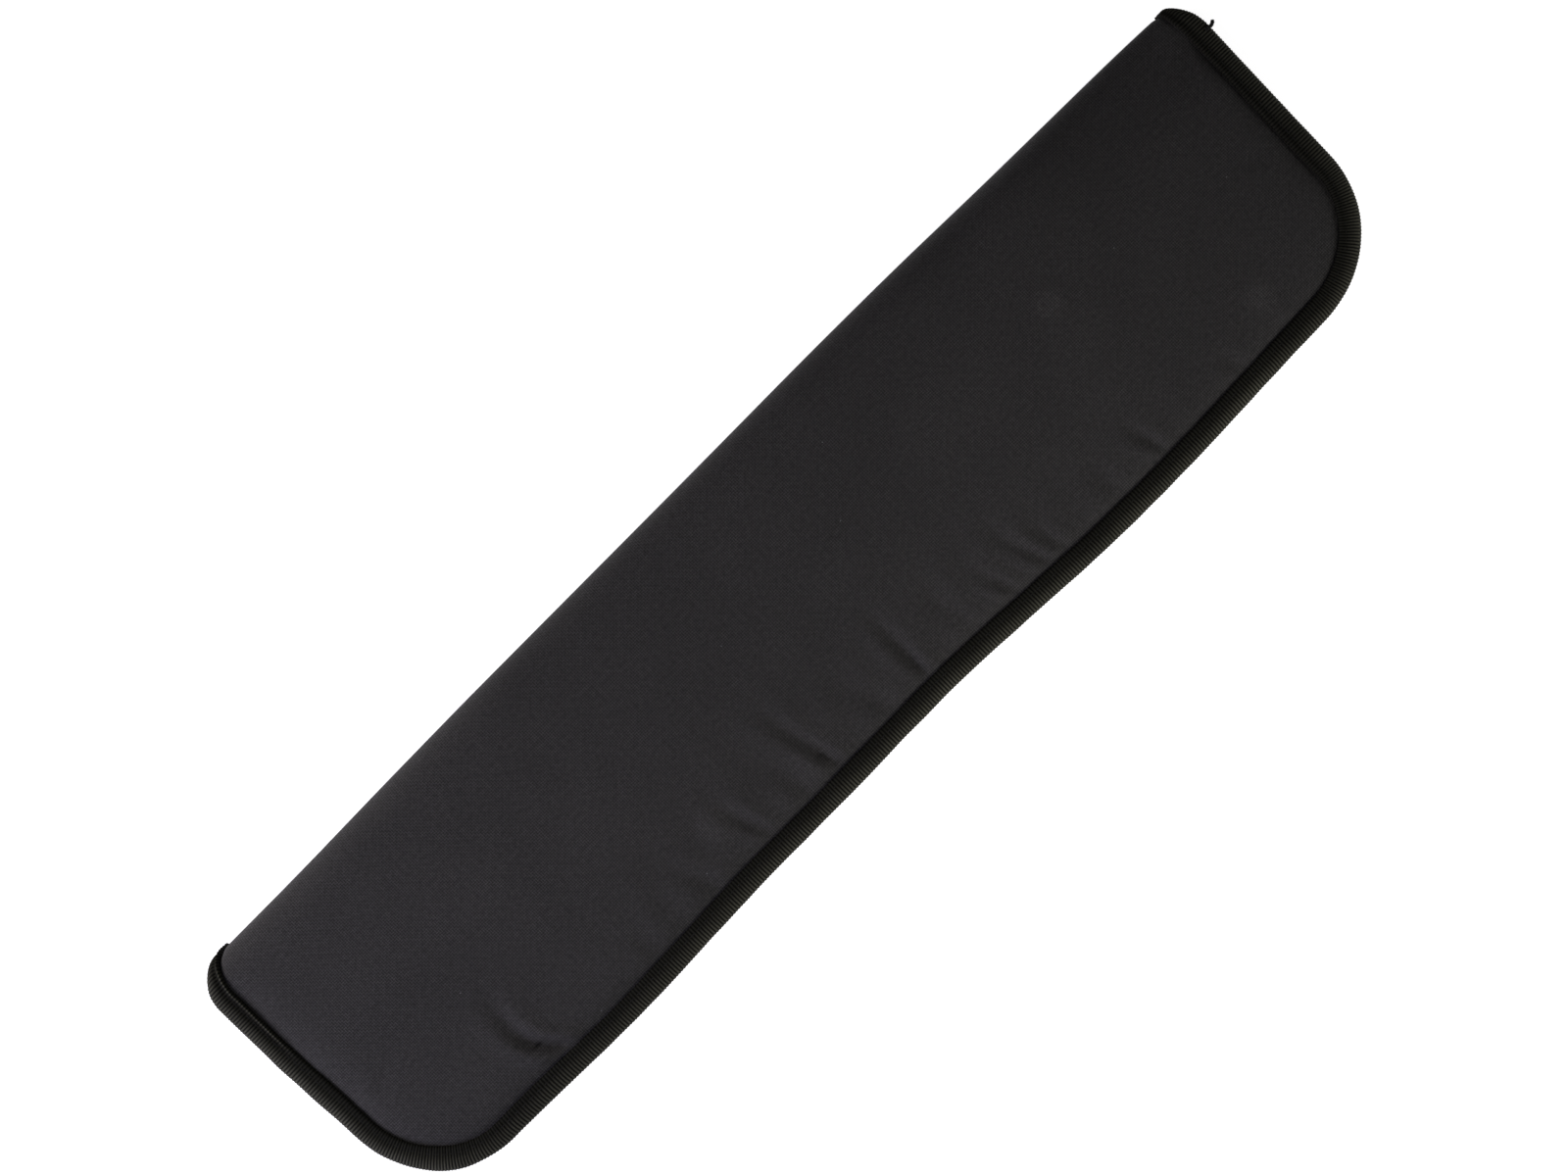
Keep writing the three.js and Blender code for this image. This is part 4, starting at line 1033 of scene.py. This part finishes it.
# Woven elastic: rubber cords under a matt polyester cover, with crosswise picks 0.8 mm apart
PICK = 0.8
elastic, shader, add = new_material("woven_elastic", {
    "Roughness": 0.85, "IOR": 1.53, "Specular IOR Level": 0.3,
    "Sheen Weight": 0.1, "Sheen Tint": "#6a6a70"})
place = add("TexCoord").outputs
cover = add("Mapping", {"Vector": place["UV"], "Scale": [1 / (PICK * MM)] * 3})
picks = add("TexWave", {
    "Vector": cover, "Scale": WAVE_UNIT, "Distortion": 0.6}, bands_direction="Y")
fibres = add("TexNoise", {"Vector": cover, "Scale": 1.6, "Detail": 3.0})
cover_tone = add("Math", {0: picks, 1: fibres}, operation="MULTIPLY")
cover_colour = add("Mix", {0: cover_tone, 6: "#141417", 7: "#36363b"}, data_type="RGBA")
pick_bump = add("Bump", {"Height": picks, "Strength": 0.5, "Distance": 0.15 * MM})
set_inputs(shader, {"Base Color": cover_colour.outputs[2], "Normal": pick_bump})

for node_name, x in BAND_PLACES.items():
    band = elastic_band(f"{node_name}_web", x)
    band.data.materials.append(elastic)
    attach(band, "back_half")
    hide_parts(node_name)
    rows = band_stitches(f"{node_name}_stitching", x)
    rows.data.materials.append(thread)
    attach(rows, "back_half")


# Floor, lamps and camera: a plain white table seen from straight above through a long lens. Two
# soft lamps stand at the foot end, and one each off the corner of foot end and fold, at the long
# side and at the head end. Places here are in metres.
FLOOR_SIZE, FLOOR_GLOW, WORLD_LIGHT = 40, 0.9, 0.012
LAMPS = (
    ("foot_end_lamp", (-0.5, 0.0, 0.3), (-0.1, 0, 0), 0.5, 0.80, "#e1e1ff"),
    ("foot_low_lamp", (-0.6, 0.05, 0.2), (-0.1, 0, 0), 0.4, 0.82, "#e1e1ff"),
    ("fold_lamp", (-0.5, 0.4, 0.25), (-0.18, 0, 0), 0.3, 2.05, "#fff9f6"),
    ("long_side_lamp", (0.05, -0.27, 0.22), (0.05, 0, 0), 0.3, 0.6, "#fffdf6"),
    ("head_end_lamp", (0.6, -0.2, 0.1), (0.2, 0, 0), 0.3, 0.6, "#f6f6f6"))
LENS, CAMERA_PLACE, CAMERA_TURN = 85, (-0.0005, 0.0085, 1.229), -45.07

bpy.ops.mesh.primitive_plane_add(size=FLOOR_SIZE)
floor = bpy.context.object
floor.name = "floor"
floor_paint, shader, add = new_material("white_table", {
    "Base Color": "#f0f0f0", "Roughness": 0.9, "Specular IOR Level": 0.1, "Emission Color": WHITE})
rays = add("LightPath").outputs
seen = add("Math", {0: rays["Is Camera Ray"], 1: rays["Is Glossy Ray"]}, operation="MAXIMUM")
seen = add("Math", {0: seen, 1: rays["Is Transmission Ray"]}, operation="MAXIMUM")
glow = add("Math", {0: seen, 1: FLOOR_GLOW}, operation="MULTIPLY")
set_inputs(shader, {"Emission Strength": glow})
floor.data.materials.append(floor_paint)
floor.select_set(False)

world = bpy.data.worlds.new("studio")
bpy.context.scene.world = world
world.use_nodes = True
set_inputs(world.node_tree.nodes["Background"], {"Color": WHITE, "Strength": WORLD_LIGHT})

for name, stand, target, width, power, colour in LAMPS:
    light = bpy.data.lights.new(name, "AREA")
    light.size = width
    light.energy = power
    light.color = hex_colour(colour)[:3]
    lamp = bpy.data.objects.new(name, light)
    bpy.context.collection.objects.link(lamp)
    lamp.location = stand
    lamp.rotation_euler = (Vector(target) - Vector(stand)).to_track_quat("-Z", "Y").to_euler()

lens = bpy.data.cameras.new("camera")
lens.lens = LENS
camera = bpy.data.objects.new("camera", lens)
bpy.context.collection.objects.link(camera)
camera.location = CAMERA_PLACE
camera.rotation_euler = (0, 0, math.radians(CAMERA_TURN))
bpy.context.scene.camera = camera
bpy.context.scene.view_settings.view_transform = "Standard"
